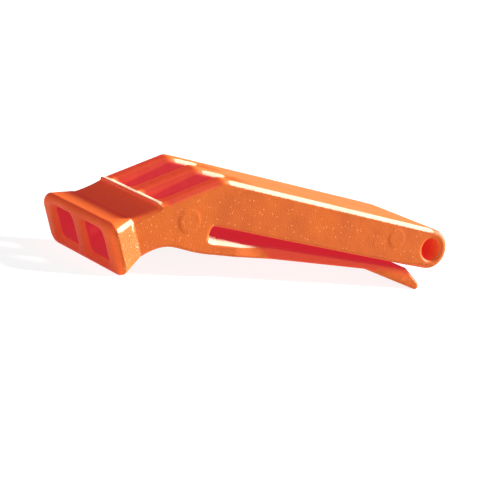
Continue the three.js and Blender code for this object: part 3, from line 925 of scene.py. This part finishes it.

# %% [markdown]
# Fields to measure on
#
# Where little light reaches, as in the slots, the mouths and the slit, the plastic gets a painted shade of
# deep red, and its edges get a painted pale highlight. Both could be painted by hand, but the distance field
# already knows where they go: a little way out from a point it tells how much open air there is, and a
# little way in how thick the plastic is. For that the clip needs a field too, and body and clip are read as
# one.

# %% Clip and body as one field
clip_along, clip_top, clip_bottom, clip_half = clip_profile()
clip_outline = np.concatenate([np.stack(tail_place(clip_along, clip_top), axis=1),
                               np.stack(tail_place(clip_along, clip_bottom), axis=1)[::-1]])
clip_table = outline_distance(clip_outline, table_x[:, None], table_z[None, :])
LEAST_LENGTH = 0.1


def clip_field(x, y, z):
    """Signed distance of the clip: its side outline across its width."""
    half = np.interp(tail_reading(x, z)[0], clip_along, clip_half)
    return rounded_join(read_table(clip_table, x, z), np.abs(y) - half, CLIP_CORNER)


def whole(x, y, z):
    """Body and clip together: the nearer of the two."""
    return np.minimum(moulding(x, y, z), clip_field(x, y, z))


def sharp_form(x, y, z):
    """The outer form with the slots cut sharply, to measure edges on."""
    return np.maximum(outer_form(x, y, z), -slot_field(x, y, z))


def outward_at(points):
    """Direction in which the whole model's distance grows fastest: the gradient over its length."""
    slope = slope_of(whole, points)
    return slope / np.maximum(np.linalg.norm(slope, axis=1, keepdims=True), LEAST_LENGTH)


print("clip outline has", len(clip_outline), "points")

# %% [markdown]
# Pale painted highlights on edges
#
# Along its bevels, on the crest of the ridge and on a line round the lip's corners the real plastic looks
# nearly white, because these narrow faces catch the lamp. Here that is a painted highlight, a pale tone in
# the colour. Other edges that look up and sideways get the same painted highlight where the lamp would
# catch them. All of them are told by which way the surface faces and where it lies.

# %% Bevels, lines and edges with painted highlights
EDGE_REACH = 0.5
BEVEL_SIDEWAYS = (0.4, 0.7)
BEVEL_UPWARD = (0.3, 0.5)
HIGHLIGHT_SIDEWAYS = (0.2, 0.4)
HIGHLIGHT_UPWARD = (-0.1, 0.3)
CREST_MIDDLE = RIDGE_BACK - RIDGE_STEP - CREST_RUN / 2
CREST_UPWARD = (0.93, 0.97)
LIP_LINE_TURN = 0.95
LIP_LINE_WIDTH = (0.32, 0.16)
LIP_LINE_START = (CAP_REAR, CAP_REAR + 0.4)
LIP_LINE_STOP = (LIP_FRONT - 1.0, LIP_FRONT - 2.0)
LIP_LINE_DEPTH = (3.0, 2.0)


def bevel_share(points, facing, on_clip):
    """One on flat-cut edges for the painted highlight: faces slanting sideways and up, by tail, slit and
    clip root.
    """
    x, _, z = points.T
    if on_clip:
        along_edge = 1 - crispness(tail_reading(x, z)[0])
    else:
        along_edge = np.maximum(tail_bevel_share(x, z), slit_bevel_share(x, z))
    return along_edge * ease(np.abs(facing[:, 1]), *BEVEL_SIDEWAYS) * ease(facing[:, 2], *BEVEL_UPWARD)


def crest_share(points, facing):
    """One on top of the ridge's crest, for the painted highlight: near its middle, where the surface looks
    up.
    """
    off_crest = np.abs(front_reading(points[:, 0], points[:, 2])[0] - CREST_MIDDLE)
    return ease(off_crest, CREST_RUN, CREST_RUN / 2) * ease(facing[:, 2], *CREST_UPWARD)


def lip_line_share(points, facing):
    """Painted highlight line round the lip's top corners: one where the turn away from it times the radius
    is small.
    """
    forward, depth = front_reading(points[:, 0], points[:, 2])
    turn = np.arctan2(np.abs(facing[:, 1]), facing[:, 2])
    off_line = np.abs(turn - LIP_LINE_TURN) * lip_corner(lip_share(forward))
    near_lip = ease(forward, *LIP_LINE_START) * ease(forward, *LIP_LINE_STOP) * ease(depth, *LIP_LINE_DEPTH)
    return near_lip * ease(off_line, *LIP_LINE_WIDTH)


def edge_highlight_share(points, outward):
    """Painted highlight on edges: one less the plastic found a little way in, on faces that look up and
    sideways.
    """
    depth = np.clip(-sharp_form(*(points - EDGE_REACH * outward).T) / EDGE_REACH, 0, 1)
    return (1 - depth) * ease(outward[:, 2], *HIGHLIGHT_UPWARD) * ease(np.abs(outward[:, 1]), *HIGHLIGHT_SIDEWAYS)


print("crest lies", round(CREST_MIDDLE, 2), "mm in front of the apex")

# %% [markdown]
# Painted shade in the hollows, on the window deck and on the tongue
#
# How hidden a point lies is read from the open air in front of it, and it gets that much painted shade. In
# the mouths and the slots the depth alone gives it, which keeps their shade even. The window deck lies in
# half shade, so its bars get painted shade and a painted red glow, and the free part of the tongue gets a
# painted shadow of the tail above it, which starts along a slanted line.

# %% Recess
RECESS_REACHES = (1.5, 3.0, 5.0)
WALL_REACH = (0.35, 0.05)
MOUTH_BEHIND = (CAP_REAR - 2, CAP_REAR - 1)
MOUTH_SHADE = (LIP_FRONT - 0.2, LIP_FRONT - 1.6)
TONGUE_SHADOW_START = (ROOT + 6.5, ROOT + 8.5)
TONGUE_SHADOW_SLANT = 1.8
TONGUE_SHADOW_BELOW = (0.5, -0.1)
BAR_START = (-0.5, 1.0)
BAR_STOP = (RIDGE_BACK - 0.8, RIDGE_BACK - 1.8)
BAR_DEPTH = (3.6, 3.2)
BAR_TURN = (0.0, 0.4)
BAR_FLAT = (0.5, 0.95)
BAR_SHADE = 0.3
RIM_SHADE = 0.38
WALL_SHADE = 0.38
SHADE_START = 0.9
SHADE_SLANT = 0.07
SHADE_RUN = 0.8
FRONT_NORMAL = np.array([-math.sin(FRONT_RISE), 0, math.cos(FRONT_RISE)])


def hollow(points, outward):
    """One less the air at each reach over that reach, averaged. In the mouths, the depth behind the lip."""
    air = [np.clip(whole(*(points + reach * outward).T) / reach, 0, 1) for reach in RECESS_REACHES]
    forward = front_reading(points[:, 0], points[:, 2])[0]
    in_mouth = ease(mouth_field(*points.T), *WALL_REACH) * ease(forward, *MOUTH_BEHIND)
    return mix(1 - np.mean(air, axis=0), ease(forward, *MOUTH_SHADE), in_mouth)


def tongue_shadow_share(x, z):
    """One where the tail's painted shadow falls on the clip above the foot's wedge, from a slanted line on.
    """
    along, depth = tail_reading(x, z)
    slanted = along - TONGUE_SHADOW_SLANT * (depth - SLIT_BOTTOM)
    return ease(slanted, *TONGUE_SHADOW_START) * ease(belly(x)[1] - z, *TONGUE_SHADOW_BELOW)


def window_parts(points, facing):
    """Painted shade of the bars round the windows, the share of the deck's painted glow, and one in the
    slots.
    """
    forward, depth = front_reading(points[:, 0], points[:, 2])
    on_front = ease(forward, *BAR_START) * ease(forward, *BAR_STOP) * ease(depth, *BAR_DEPTH)
    in_slot = on_front * ease(slot_field(*points.T), *WALL_REACH)
    facing_up = facing @ FRONT_NORMAL
    flat = ease(facing_up, *BAR_FLAT)
    shade = on_front * ease(facing_up, *BAR_TURN) * mix(RIM_SHADE, BAR_SHADE, flat)
    return shade, np.maximum(on_front * flat, in_slot), in_slot


def slot_shade(x, z):
    """Painted shade of the slots' walls: as the bars at the rim, full further down, and later near the
    ridge.
    """
    forward, depth = front_reading(x, z)
    start = SHADE_START + SHADE_SLANT * forward
    return mix(WALL_SHADE, 1, ease(depth, start, start + SHADE_RUN))


print("recess is read", RECESS_REACHES, "mm out")

# %% [markdown]
# Signs stored with the vertices
#
# The mould is grainy on the sides and polished on the front, the neck, the mouth and the tail's top. That
# makes four signs for each point: how much painted shade it gets, how much painted highlight, how grainy it
# is, and how much of the window deck's painted glow. They are stored with the mesh as attributes, and the
# materials read them by name.

# %% Note the surface
TONGUE_SHADOW = 0.34
BORE_SHADE = (0.2, 1.0)
BORE_POLISH = (-0.7, 0.5)
HOLLOW_POLISH = (0.3, 0.1)
POLISH = 0.85
POLISH_TURN = (0.15, 0.7)
POLISH_START = (-1.0, 1.0)
FACE_TURN = (0.1, 0.5)
FACE_START = (CAP_REAR - 1, CAP_REAR + 1)
TOP_POLISH = 0.8
TOP_TURN = (0.8, 0.95)
TOP_START = (1.0, -1.0)
SOFTEN_ROUNDS = 6
SHORT_LINK = 0.6


def read_surface(mesh):
    """Points of all vertices in millimetres from the apex, and their normals."""
    places, normals = np.empty((2, len(mesh.vertices) * 3), np.float32)
    mesh.vertices.foreach_get("co", places)
    mesh.vertex_normals.foreach_get("vector", normals)
    return places.reshape(-1, 3) / MM - APEX, normals.reshape(-1, 3)


def soften(mesh, points, values):
    """Mean of every value with its neighbours along the mesh's short edges, a few times over."""
    links = np.empty(len(mesh.edges) * 2, np.int32)
    mesh.edges.foreach_get("vertices", links)
    links = links.reshape(-1, 2)
    links = links[np.linalg.norm(points[links[:, 0]] - points[links[:, 1]], axis=1) < SHORT_LINK]
    starts, stops = np.concatenate([links, links[:, ::-1]]).T
    count = np.maximum(np.bincount(starts, minlength=len(values)), 1)
    for _ in range(SOFTEN_ROUNDS):
        values = (values + np.bincount(starts, values[stops], len(values)) / count) / 2
    return values


def graininess(points, facing, painted_shade):
    """One, less most of it on the polished front, neck, mouth and tail top, in hollows and in the bore."""
    x, _, z = points.T
    forward = front_reading(x, z)[0]
    on_front = ease(facing @ FRONT_NORMAL, *POLISH_TURN) * ease(forward, *POLISH_START)
    on_face = ease(facing @ np.array(forward_axis), *FACE_TURN) * ease(forward, *FACE_START)
    on_top = TOP_POLISH * ease(facing[:, 2], *TOP_TURN) * ease(forward, *TOP_START)
    kept = (1 - POLISH * np.maximum(on_front, on_face)) * (1 - on_top)
    return kept * ease(painted_shade, *HOLLOW_POLISH) * ease(bore_distance(x, z), *BORE_POLISH)


def note_surface(piece, on_clip):
    """Works out the four signs of a piece, each by its own function, and stores them by name."""
    points, normals = read_surface(piece.data)
    x, _, z = points.T
    outward = outward_at(points)
    facing = normals if on_clip else outward
    bevelled = np.maximum(bevel_share(points, facing, on_clip), crest_share(points, facing))
    bevelled = np.maximum(bevelled, lip_line_share(points, facing))
    # Edge: where the pale painted highlight goes, on bevels, crest, lip line and the edges that look up.
    edge = bevelled if on_clip else np.maximum(edge_highlight_share(points, outward), bevelled)
    # Painted shade: how much deep red a point gets, first from the open air in front of it.
    painted_shade = hollow(points, outward)
    # The tail's shadow on the free part of the tongue is painted as shade.
    if on_clip:
        painted_shade = np.maximum(painted_shade, TONGUE_SHADOW * tongue_shadow_share(x, z))
    # The window deck, in half shade, gets painted shade and a share for its painted red glow.
    shade, deck_glow, in_slot = window_parts(points, facing)
    painted_shade = mix(np.maximum(painted_shade, shade), slot_shade(x, z), in_slot)
    painted_shade = soften(piece.data, points, painted_shade * (1 - bevelled) * ease(bore_distance(x, z), *BORE_SHADE))
    signs = {"painted_shade": painted_shade, "edge": edge, "texture": graininess(points, facing, painted_shade), "deck_glow": deck_glow}
    for name, values in signs.items():
        attribute = piece.data.attributes.new(name, "FLOAT", "POINT")
        attribute.data.foreach_set("value", values.astype(np.float32))
    print(piece.name, {name: round(float(values.mean()), 3) for name, values in signs.items()})


for piece in (mouthpiece, right_half, left_half, plate, clip):
    note_surface(piece, piece is clip)

# %% [markdown]
# Building node groups
#
# Grain, specks and the colour that changes with depth are wanted in every finish, so each is a node group
# that is built once and then placed in the materials with its own values. A few small helpers keep that
# short: one makes a group with named sockets, the others set, link and combine.

# %% Node helpers
def new_group(name, inputs, outputs):
    """Empty node group with sockets named by kind, its input node's outputs and its output node."""
    tree = bpy.data.node_groups.new(name, "ShaderNodeTree")
    for in_out, sockets in (("INPUT", inputs), ("OUTPUT", outputs)):
        for kind, labels in sockets.items():
            for label in labels:
                tree.interface.new_socket(label, in_out=in_out, socket_type="NodeSocket" + kind)
    return tree, tree.nodes.new("NodeGroupInput").outputs, tree.nodes.new("NodeGroupOutput")


def wire(tree, made, sockets):
    """Sets each socket of a node, by name or number, to a value, or links it to another node's output."""
    for label, source in sockets.items():
        if isinstance(source, bpy.types.NodeSocket):
            tree.links.new(source, made.inputs[label])
        else:
            made.inputs[label].default_value = source
    return made


def node(tree, kind, sockets, **settings):
    """New node: settings are its own properties, and its sockets are wired."""
    made = tree.nodes.new("ShaderNode" + kind)
    for key, value in settings.items():
        setattr(made, key, value)
    return wire(tree, made, sockets)


def calc(tree, operation, *values):
    """Result of a math node: the operation on up to three values or outputs."""
    return node(tree, "Math", dict(enumerate(values)), operation=operation).outputs[0]


def mixed(tree, share, first, second):
    """Colour that goes from the first to the second with the share."""
    made = node(tree, "Mix", {"Factor": share}, data_type="RGBA")
    colours = [number for number, socket in enumerate(made.inputs) if socket.type == "RGBA"]
    wire(tree, made, dict(zip(colours, (first, second))))
    return next(socket for socket in made.outputs if socket.type == "RGBA")


def ramp(tree, value, low, high, start=0.0, stop=1.0):
    """Smooth step of a value from the start at low to the stop at high."""
    sockets = {"Value": value, "From Min": low, "From Max": high, "To Min": start, "To Max": stop}
    return node(tree, "MapRange", sockets, interpolation_type="SMOOTHSTEP").outputs["Result"]


def noise(tree, place, per_metre, detail, roughness=0.5):
    """Value of a noise with so many waves per metre, with finer waves added for detail."""
    sockets = {"Vector": place, "Scale": per_metre, "Detail": detail, "Roughness": roughness}
    return node(tree, "TexNoise", sockets).outputs["Fac"]


print("helpers ready")

# %% [markdown]
# Spark grain, moulding waves and painted glints
#
# The sides of the mould are spark-eroded, which leaves a fine grain on the plastic, and the surface also
# waves a little where it shrank. A fine and a coarse noise give the height for a bump. Here and there sits a
# pale speck, a painted glint where the grain would catch the lamp: a point per cell of a Voronoi pattern,
# kept only in some.

# %% Grain and speck groups
GRAIN_PER_METRE = 4200
WAVES_PER_METRE = 420
CLOUDS_PER_METRE = 160
SPECK_RADIUS = 0.2

grain_group, given, result = new_group("spark_grain", {"Float": ("Texture", "Grain", "Waves")},
                                       {"Float": ("Height", "Cloud", "Fine")})
place = node(grain_group, "TexCoord", {}).outputs["Object"]
fine = noise(grain_group, place, GRAIN_PER_METRE, detail=2.0, roughness=0.6)
coarse = noise(grain_group, place, WAVES_PER_METRE, detail=1.0)
cloud = noise(grain_group, place, CLOUDS_PER_METRE, detail=3.0)
fine_height = calc(grain_group, "MULTIPLY", fine, given["Grain"])
fine_height = calc(grain_group, "MULTIPLY", fine_height, given["Texture"])
height = calc(grain_group, "MULTIPLY_ADD", coarse, given["Waves"], fine_height)
wire(grain_group, result, {"Height": height, "Cloud": cloud, "Fine": fine})

# Pale specks are painted glints where the grain would catch the lamp.
speck_group, given, result = new_group("pale_specks", {"Float": ("Texture", "Kept", "Scale")},
                                       {"Float": ("Mask",)})
place = node(speck_group, "TexCoord", {}).outputs["Object"]
cells = node(speck_group, "TexVoronoi", {"Vector": place, "Scale": given["Scale"]})
draw = node(speck_group, "SeparateColor", {"Color": cells.outputs["Color"]}).outputs["Red"]
kept = calc(speck_group, "LESS_THAN", draw, given["Kept"])
spot = ramp(speck_group, cells.outputs["Distance"], SPECK_RADIUS, SPECK_RADIUS / 2)
spot = calc(speck_group, "MULTIPLY", spot, given["Texture"])
wire(speck_group, result, {"Mask": calc(speck_group, "MULTIPLY", kept, spot)})
print("groups", grain_group.name, speck_group.name)

# %% [markdown]
# Orange with painted shade, highlights and glow
#
# In the real plastic light is scattered inside, so red reaches even the hollows while yellow is swallowed.
# Blender's subsurface scattering does that, but it goes astray where separate pieces meet, as they do at the
# seams here. So light and shade are painted into the colour: an open tone, a deep red painted shade for the
# hollows, a pale painted highlight for the edges, and a low red painted glow that stands for the light which
# comes through the plastic. The deep red also mottles the grainy sides at random.

# %% Depth group
HIDDEN_RANGE = (0.15, 0.5)
RAGGEDNESS = 0.6
HIGHLIGHT_RANGE = (0.38, 0.62)
CLOUD_RANGE = (0.3, 0.75)
CLOUD_SHARE = (0.1, 0.32)

tone_group, given, result = new_group(
    "orange_depth",
    {"Float": ("Painted Shade", "Edge", "Texture", "Deck", "Cloud", "Fine"),
     "Color": ("Open", "Deep", "Highlight", "Open Glow", "Polished Glow", "Deck Glow", "Deep Glow")},
    {"Color": ("Color", "Glow"), "Float": ("Hidden",)})
hidden = ramp(tone_group, given["Painted Shade"], *HIDDEN_RANGE)
ragged = calc(tone_group, "MULTIPLY_ADD", given["Fine"], RAGGEDNESS, given["Edge"])
along_edge = ramp(tone_group, ragged, *HIGHLIGHT_RANGE)
clouded = ramp(tone_group, given["Cloud"], *CLOUD_RANGE, *CLOUD_SHARE)
clouded = calc(tone_group, "MULTIPLY", clouded, given["Texture"])
# The pale tone along the edges is a painted highlight.
open_tone = mixed(tone_group, along_edge, given["Open"], given["Highlight"])
open_tone = mixed(tone_group, clouded, open_tone, given["Deep"])
open_glow = mixed(tone_group, given["Texture"], given["Polished Glow"], given["Open Glow"])
# Painted red glow on the window deck, which lies in half shade.
open_glow = mixed(tone_group, given["Deck"], open_glow, given["Deck Glow"])
# Painted shade: the deep red wherever a point lies hidden.
wire(tone_group, result, {"Color": mixed(tone_group, hidden, open_tone, given["Deep"]),
                          "Glow": mixed(tone_group, hidden, open_glow, given["Deep Glow"]),
                          "Hidden": hidden})
print("group", tone_group.name)

# %% [markdown]
# The finishes
#
# All the pieces are one orange plastic, but not one finish: the shells and the clip have grainy sides, the
# lip is satin with painted glints on its glittering sides, and the inserts, deep inside, are plain and
# painted all over in the shade red with its glow. Each finish is the same shader with its own tones and
# strengths.

# %% Materials
# Painted light and shade: the deep red is painted shade and also mottles the grainy sides at random, the
# pale edge tone is a painted highlight, the speck and sparkle tones are painted glints, and every glow
# colour is painted light that stands for light coming through the plastic.
OPEN_ORANGE = (0.76, 0.187, 0.024, 1)
SHADE_AND_MOTTLE_RED = (0.25, 0.03, 0.02, 1)
PAINTED_HIGHLIGHT = (0.97, 0.75, 0.5, 1)
OPEN_GLOW = (0.15, 0.008, 0.003, 1)
POLISHED_GLOW = (0.34, 0.005, 0.016, 1)
PAINTED_DECK_GLOW = (0.58, 0.031, 0.018, 1)
DEEP_GLOW = (0.45, 0.016, 0.027, 1)
SPECK_GLINT_TONE = (0.92, 0.42, 0.17, 1)
SPARKLE_TONE = (1.0, 0.85, 0.65, 1)
SPECKS_PER_METRE = 1500
SPARKLES_PER_METRE = 2600
MANY_SPECKS = (0.6, SPECKS_PER_METRE, SPECK_GLINT_TONE)
FEW_SPECKS = (0.35, SPECKS_PER_METRE, SPECK_GLINT_TONE)
NO_SPECKS = (0.0, SPECKS_PER_METRE, SPECK_GLINT_TONE)
SPARKLES = (0.6, SPARKLES_PER_METRE, SPARKLE_TONE)
FINE_GRAIN = 0.5
COARSE_GRAIN = 1.3
GRAIN_DEPTH = 0.00012
WAVE_HEIGHT = 0.5
ROUGHNESS = (0.45, 0.55)
ROUGH_CLOUDS = (0.3, 0.7)
HOLLOW_ROUGHNESS = 0.5
MATTE = 0.14
SATIN = 0.07


def plastic(name, open_tone, open_glow, grain, glints, gloss):
    """Orange plastic: depth group paints shade, highlight and glow, grain group roughens, speck group paints
    glints.
    """
    material = bpy.data.materials.new(name)
    material.use_nodes = True
    tree = material.node_tree
    painted_shade, edge, texture, deck_glow = [node(tree, "Attribute", {}, attribute_name=sign).outputs["Fac"]
                                   for sign in ("painted_shade", "edge", "texture", "deck_glow")]
    kept, per_metre, glint_tone = glints
    grained = node(tree, "Group", {"Texture": texture, "Grain": grain, "Waves": WAVE_HEIGHT},
                   node_tree=grain_group).outputs
    glinted = node(tree, "Group", {"Texture": texture, "Kept": kept, "Scale": per_metre},
                  node_tree=speck_group).outputs
    tone = node(tree, "Group", {
        "Painted Shade": painted_shade, "Edge": edge, "Texture": texture, "Deck": deck_glow, "Cloud": grained["Cloud"],
        "Fine": grained["Fine"], "Open": open_tone, "Deep": SHADE_AND_MOTTLE_RED, "Highlight": PAINTED_HIGHLIGHT,
        "Open Glow": open_glow, "Polished Glow": POLISHED_GLOW, "Deck Glow": PAINTED_DECK_GLOW,
        "Deep Glow": DEEP_GLOW}, node_tree=tone_group).outputs
    rough = ramp(tree, grained["Cloud"], *ROUGH_CLOUDS, *ROUGHNESS)
    bump = node(tree, "Bump", {"Height": grained["Height"], "Distance": GRAIN_DEPTH, "Strength": 1.0})
    wire(tree, tree.nodes["Principled BSDF"], {
        "Base Color": mixed(tree, glinted["Mask"], tone["Color"], glint_tone),
        "Roughness": calc(tree, "MULTIPLY_ADD", tone["Hidden"], HOLLOW_ROUGHNESS, rough),
        "Normal": bump.outputs["Normal"], "Emission Color": tone["Glow"], "Emission Strength": 1.0,
        "Specular IOR Level": gloss})
    return material


shell_finish = plastic("shell_plastic", OPEN_ORANGE, OPEN_GLOW, FINE_GRAIN, MANY_SPECKS, MATTE)
lip_finish = plastic("lip_plastic", OPEN_ORANGE, OPEN_GLOW, COARSE_GRAIN, SPARKLES, SATIN)
clip_finish = plastic("clip_plastic", OPEN_ORANGE, OPEN_GLOW, FINE_GRAIN, FEW_SPECKS, MATTE)
# The hidden inserts are painted all over in the shade red with its glow.
insert_finish = plastic("insert_plastic", SHADE_AND_MOTTLE_RED, DEEP_GLOW, FINE_GRAIN, NO_SPECKS, MATTE)
for piece, finish in ((mouthpiece, lip_finish), (right_half, shell_finish), (left_half, shell_finish),
                      (plate, shell_finish), (clip, clip_finish)):
    piece.data.materials.append(finish)
for name in ("right_fipple_block", "left_fipple_block", "right_tone_stop", "left_tone_stop"):
    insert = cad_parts[name]
    insert.data.materials.clear()
    insert.data.materials.append(insert_finish)
print("finishes", [finish.name for finish in (shell_finish, lip_finish, clip_finish, insert_finish)])

# %% [markdown]
# Lamps
#
# A strong light stands low behind the tail and rakes over it towards the mouthpiece, so the tail's top is
# bright, the sloping front lies in half shade and the edges glint. A large weak lamp beside the camera fills
# the shade. A brightness of 1 means that a white matte surface which faces the lamp renders as white.

# %% Key and fill
KEY_DIRECTION = Vector((0.9, -0.11, 0.435)).normalized()
KEY_BRIGHTNESS = 3.25
KEY_ANGLE = math.radians(7)
KEY_DISTANCE = 1.0
FILL_DIRECTION = Vector((-0.75, -0.45, 0.5)).normalized()
FILL_BRIGHTNESS = 0.2
FILL_DISTANCE = 0.6
FILL_SIZE = 0.5


def hang(name, data, direction, distance):
    """Lamp at a distance from the object along a direction, turned to face it."""
    light = bpy.data.objects.new(name, data)
    light.location = direction * distance
    light.rotation_euler = direction.to_track_quat("Z", "Y").to_euler()
    bpy.context.scene.collection.objects.link(light)


key = bpy.data.lights.new("key", "SUN")
key.angle = KEY_ANGLE
key.energy = KEY_BRIGHTNESS * math.pi
hang("key", key, KEY_DIRECTION, KEY_DISTANCE)
fill = bpy.data.lights.new("fill", "AREA")
fill.size = FILL_SIZE
fill.energy = FILL_BRIGHTNESS * (math.pi * FILL_DISTANCE)**2
hang("fill", fill, FILL_DIRECTION, FILL_DISTANCE)
print("key", round(key.energy, 2), "fill", round(fill.energy, 2))

# %% [markdown]
# White surroundings
#
# The world is white at the horizon and dark overhead, like a white sweep in a dark room, and it lights the
# object only weakly. To rays that look at it, from the camera or in a reflection, it is as white as paper.
# Light Path tells these rays from the ones that carry light.

# %% World
ROOM_LIGHT = 0.2
HORIZON = (0.04, 0.24)
SKY = (1.0, 0.08)


def seen_directly(tree):
    """One for rays that look at the background: from the camera, in a reflection or through a clear body."""
    path = node(tree, "LightPath", {}).outputs
    looked = calc(tree, "MAXIMUM", path["Is Camera Ray"], path["Is Glossy Ray"])
    return calc(tree, "MAXIMUM", looked, path["Is Transmission Ray"])


world = bpy.data.worlds.new("studio")
bpy.context.scene.world = world
world.use_nodes = True
tree = world.node_tree
direction = node(tree, "TexCoord", {}).outputs["Generated"]
height = node(tree, "SeparateXYZ", {"Vector": direction}).outputs["Z"]
wire(tree, tree.nodes["Background"], {
    "Color": ramp(tree, height, *HORIZON, *SKY),
    "Strength": ramp(tree, seen_directly(tree), 0.0, 1.0, ROOM_LIGHT, 1.0)})
print("world", world.name)

# %% [markdown]
# White floor
#
# The floor has to look white and still take the object's shadow. To the camera it is part glow and part
# matte, so that it is just past white in the light and a pale grey in the shadow. To every other ray it is
# plain matte white.

# %% Floor
FLOOR_HALF = 3.0
FLOOR_CORNERS = ((-1, -1), (1, -1), (1, 1), (-1, 1))
FLOOR_MATTE = (0.6, 0.6, 0.6, 1)
FLOOR_DIM = (0.28, 0.28, 0.28, 1)
FLOOR_GLOW = 0.88

floor_data = bpy.data.meshes.new("floor")
floor_data.from_pydata([(x * FLOOR_HALF, y * FLOOR_HALF, 0) for x, y in FLOOR_CORNERS], [], [(0, 1, 2, 3)])
floor = bpy.data.objects.new("floor", floor_data)
bpy.context.scene.collection.objects.link(floor)
white = bpy.data.materials.new("white_floor")
white.use_nodes = True
tree = white.node_tree
tree.nodes.clear()
matte = node(tree, "BsdfDiffuse", {"Color": FLOOR_MATTE})
dim = node(tree, "BsdfDiffuse", {"Color": FLOOR_DIM})
glow = node(tree, "Emission", {"Strength": FLOOR_GLOW})
bright = node(tree, "AddShader", {0: dim.outputs[0], 1: glow.outputs[0]})
chosen = node(tree, "MixShader", {0: seen_directly(tree), 1: matte.outputs[0], 2: bright.outputs[0]})
node(tree, "OutputMaterial", {"Surface": chosen.outputs[0]})
floor_data.materials.append(white)
print("floor of", 2 * FLOOR_HALF, "m")

# %% [markdown]
# Colour management
#
# The Standard view transform shows colours as they are written.

# %% Finish
bpy.context.scene.view_settings.view_transform = "Standard"
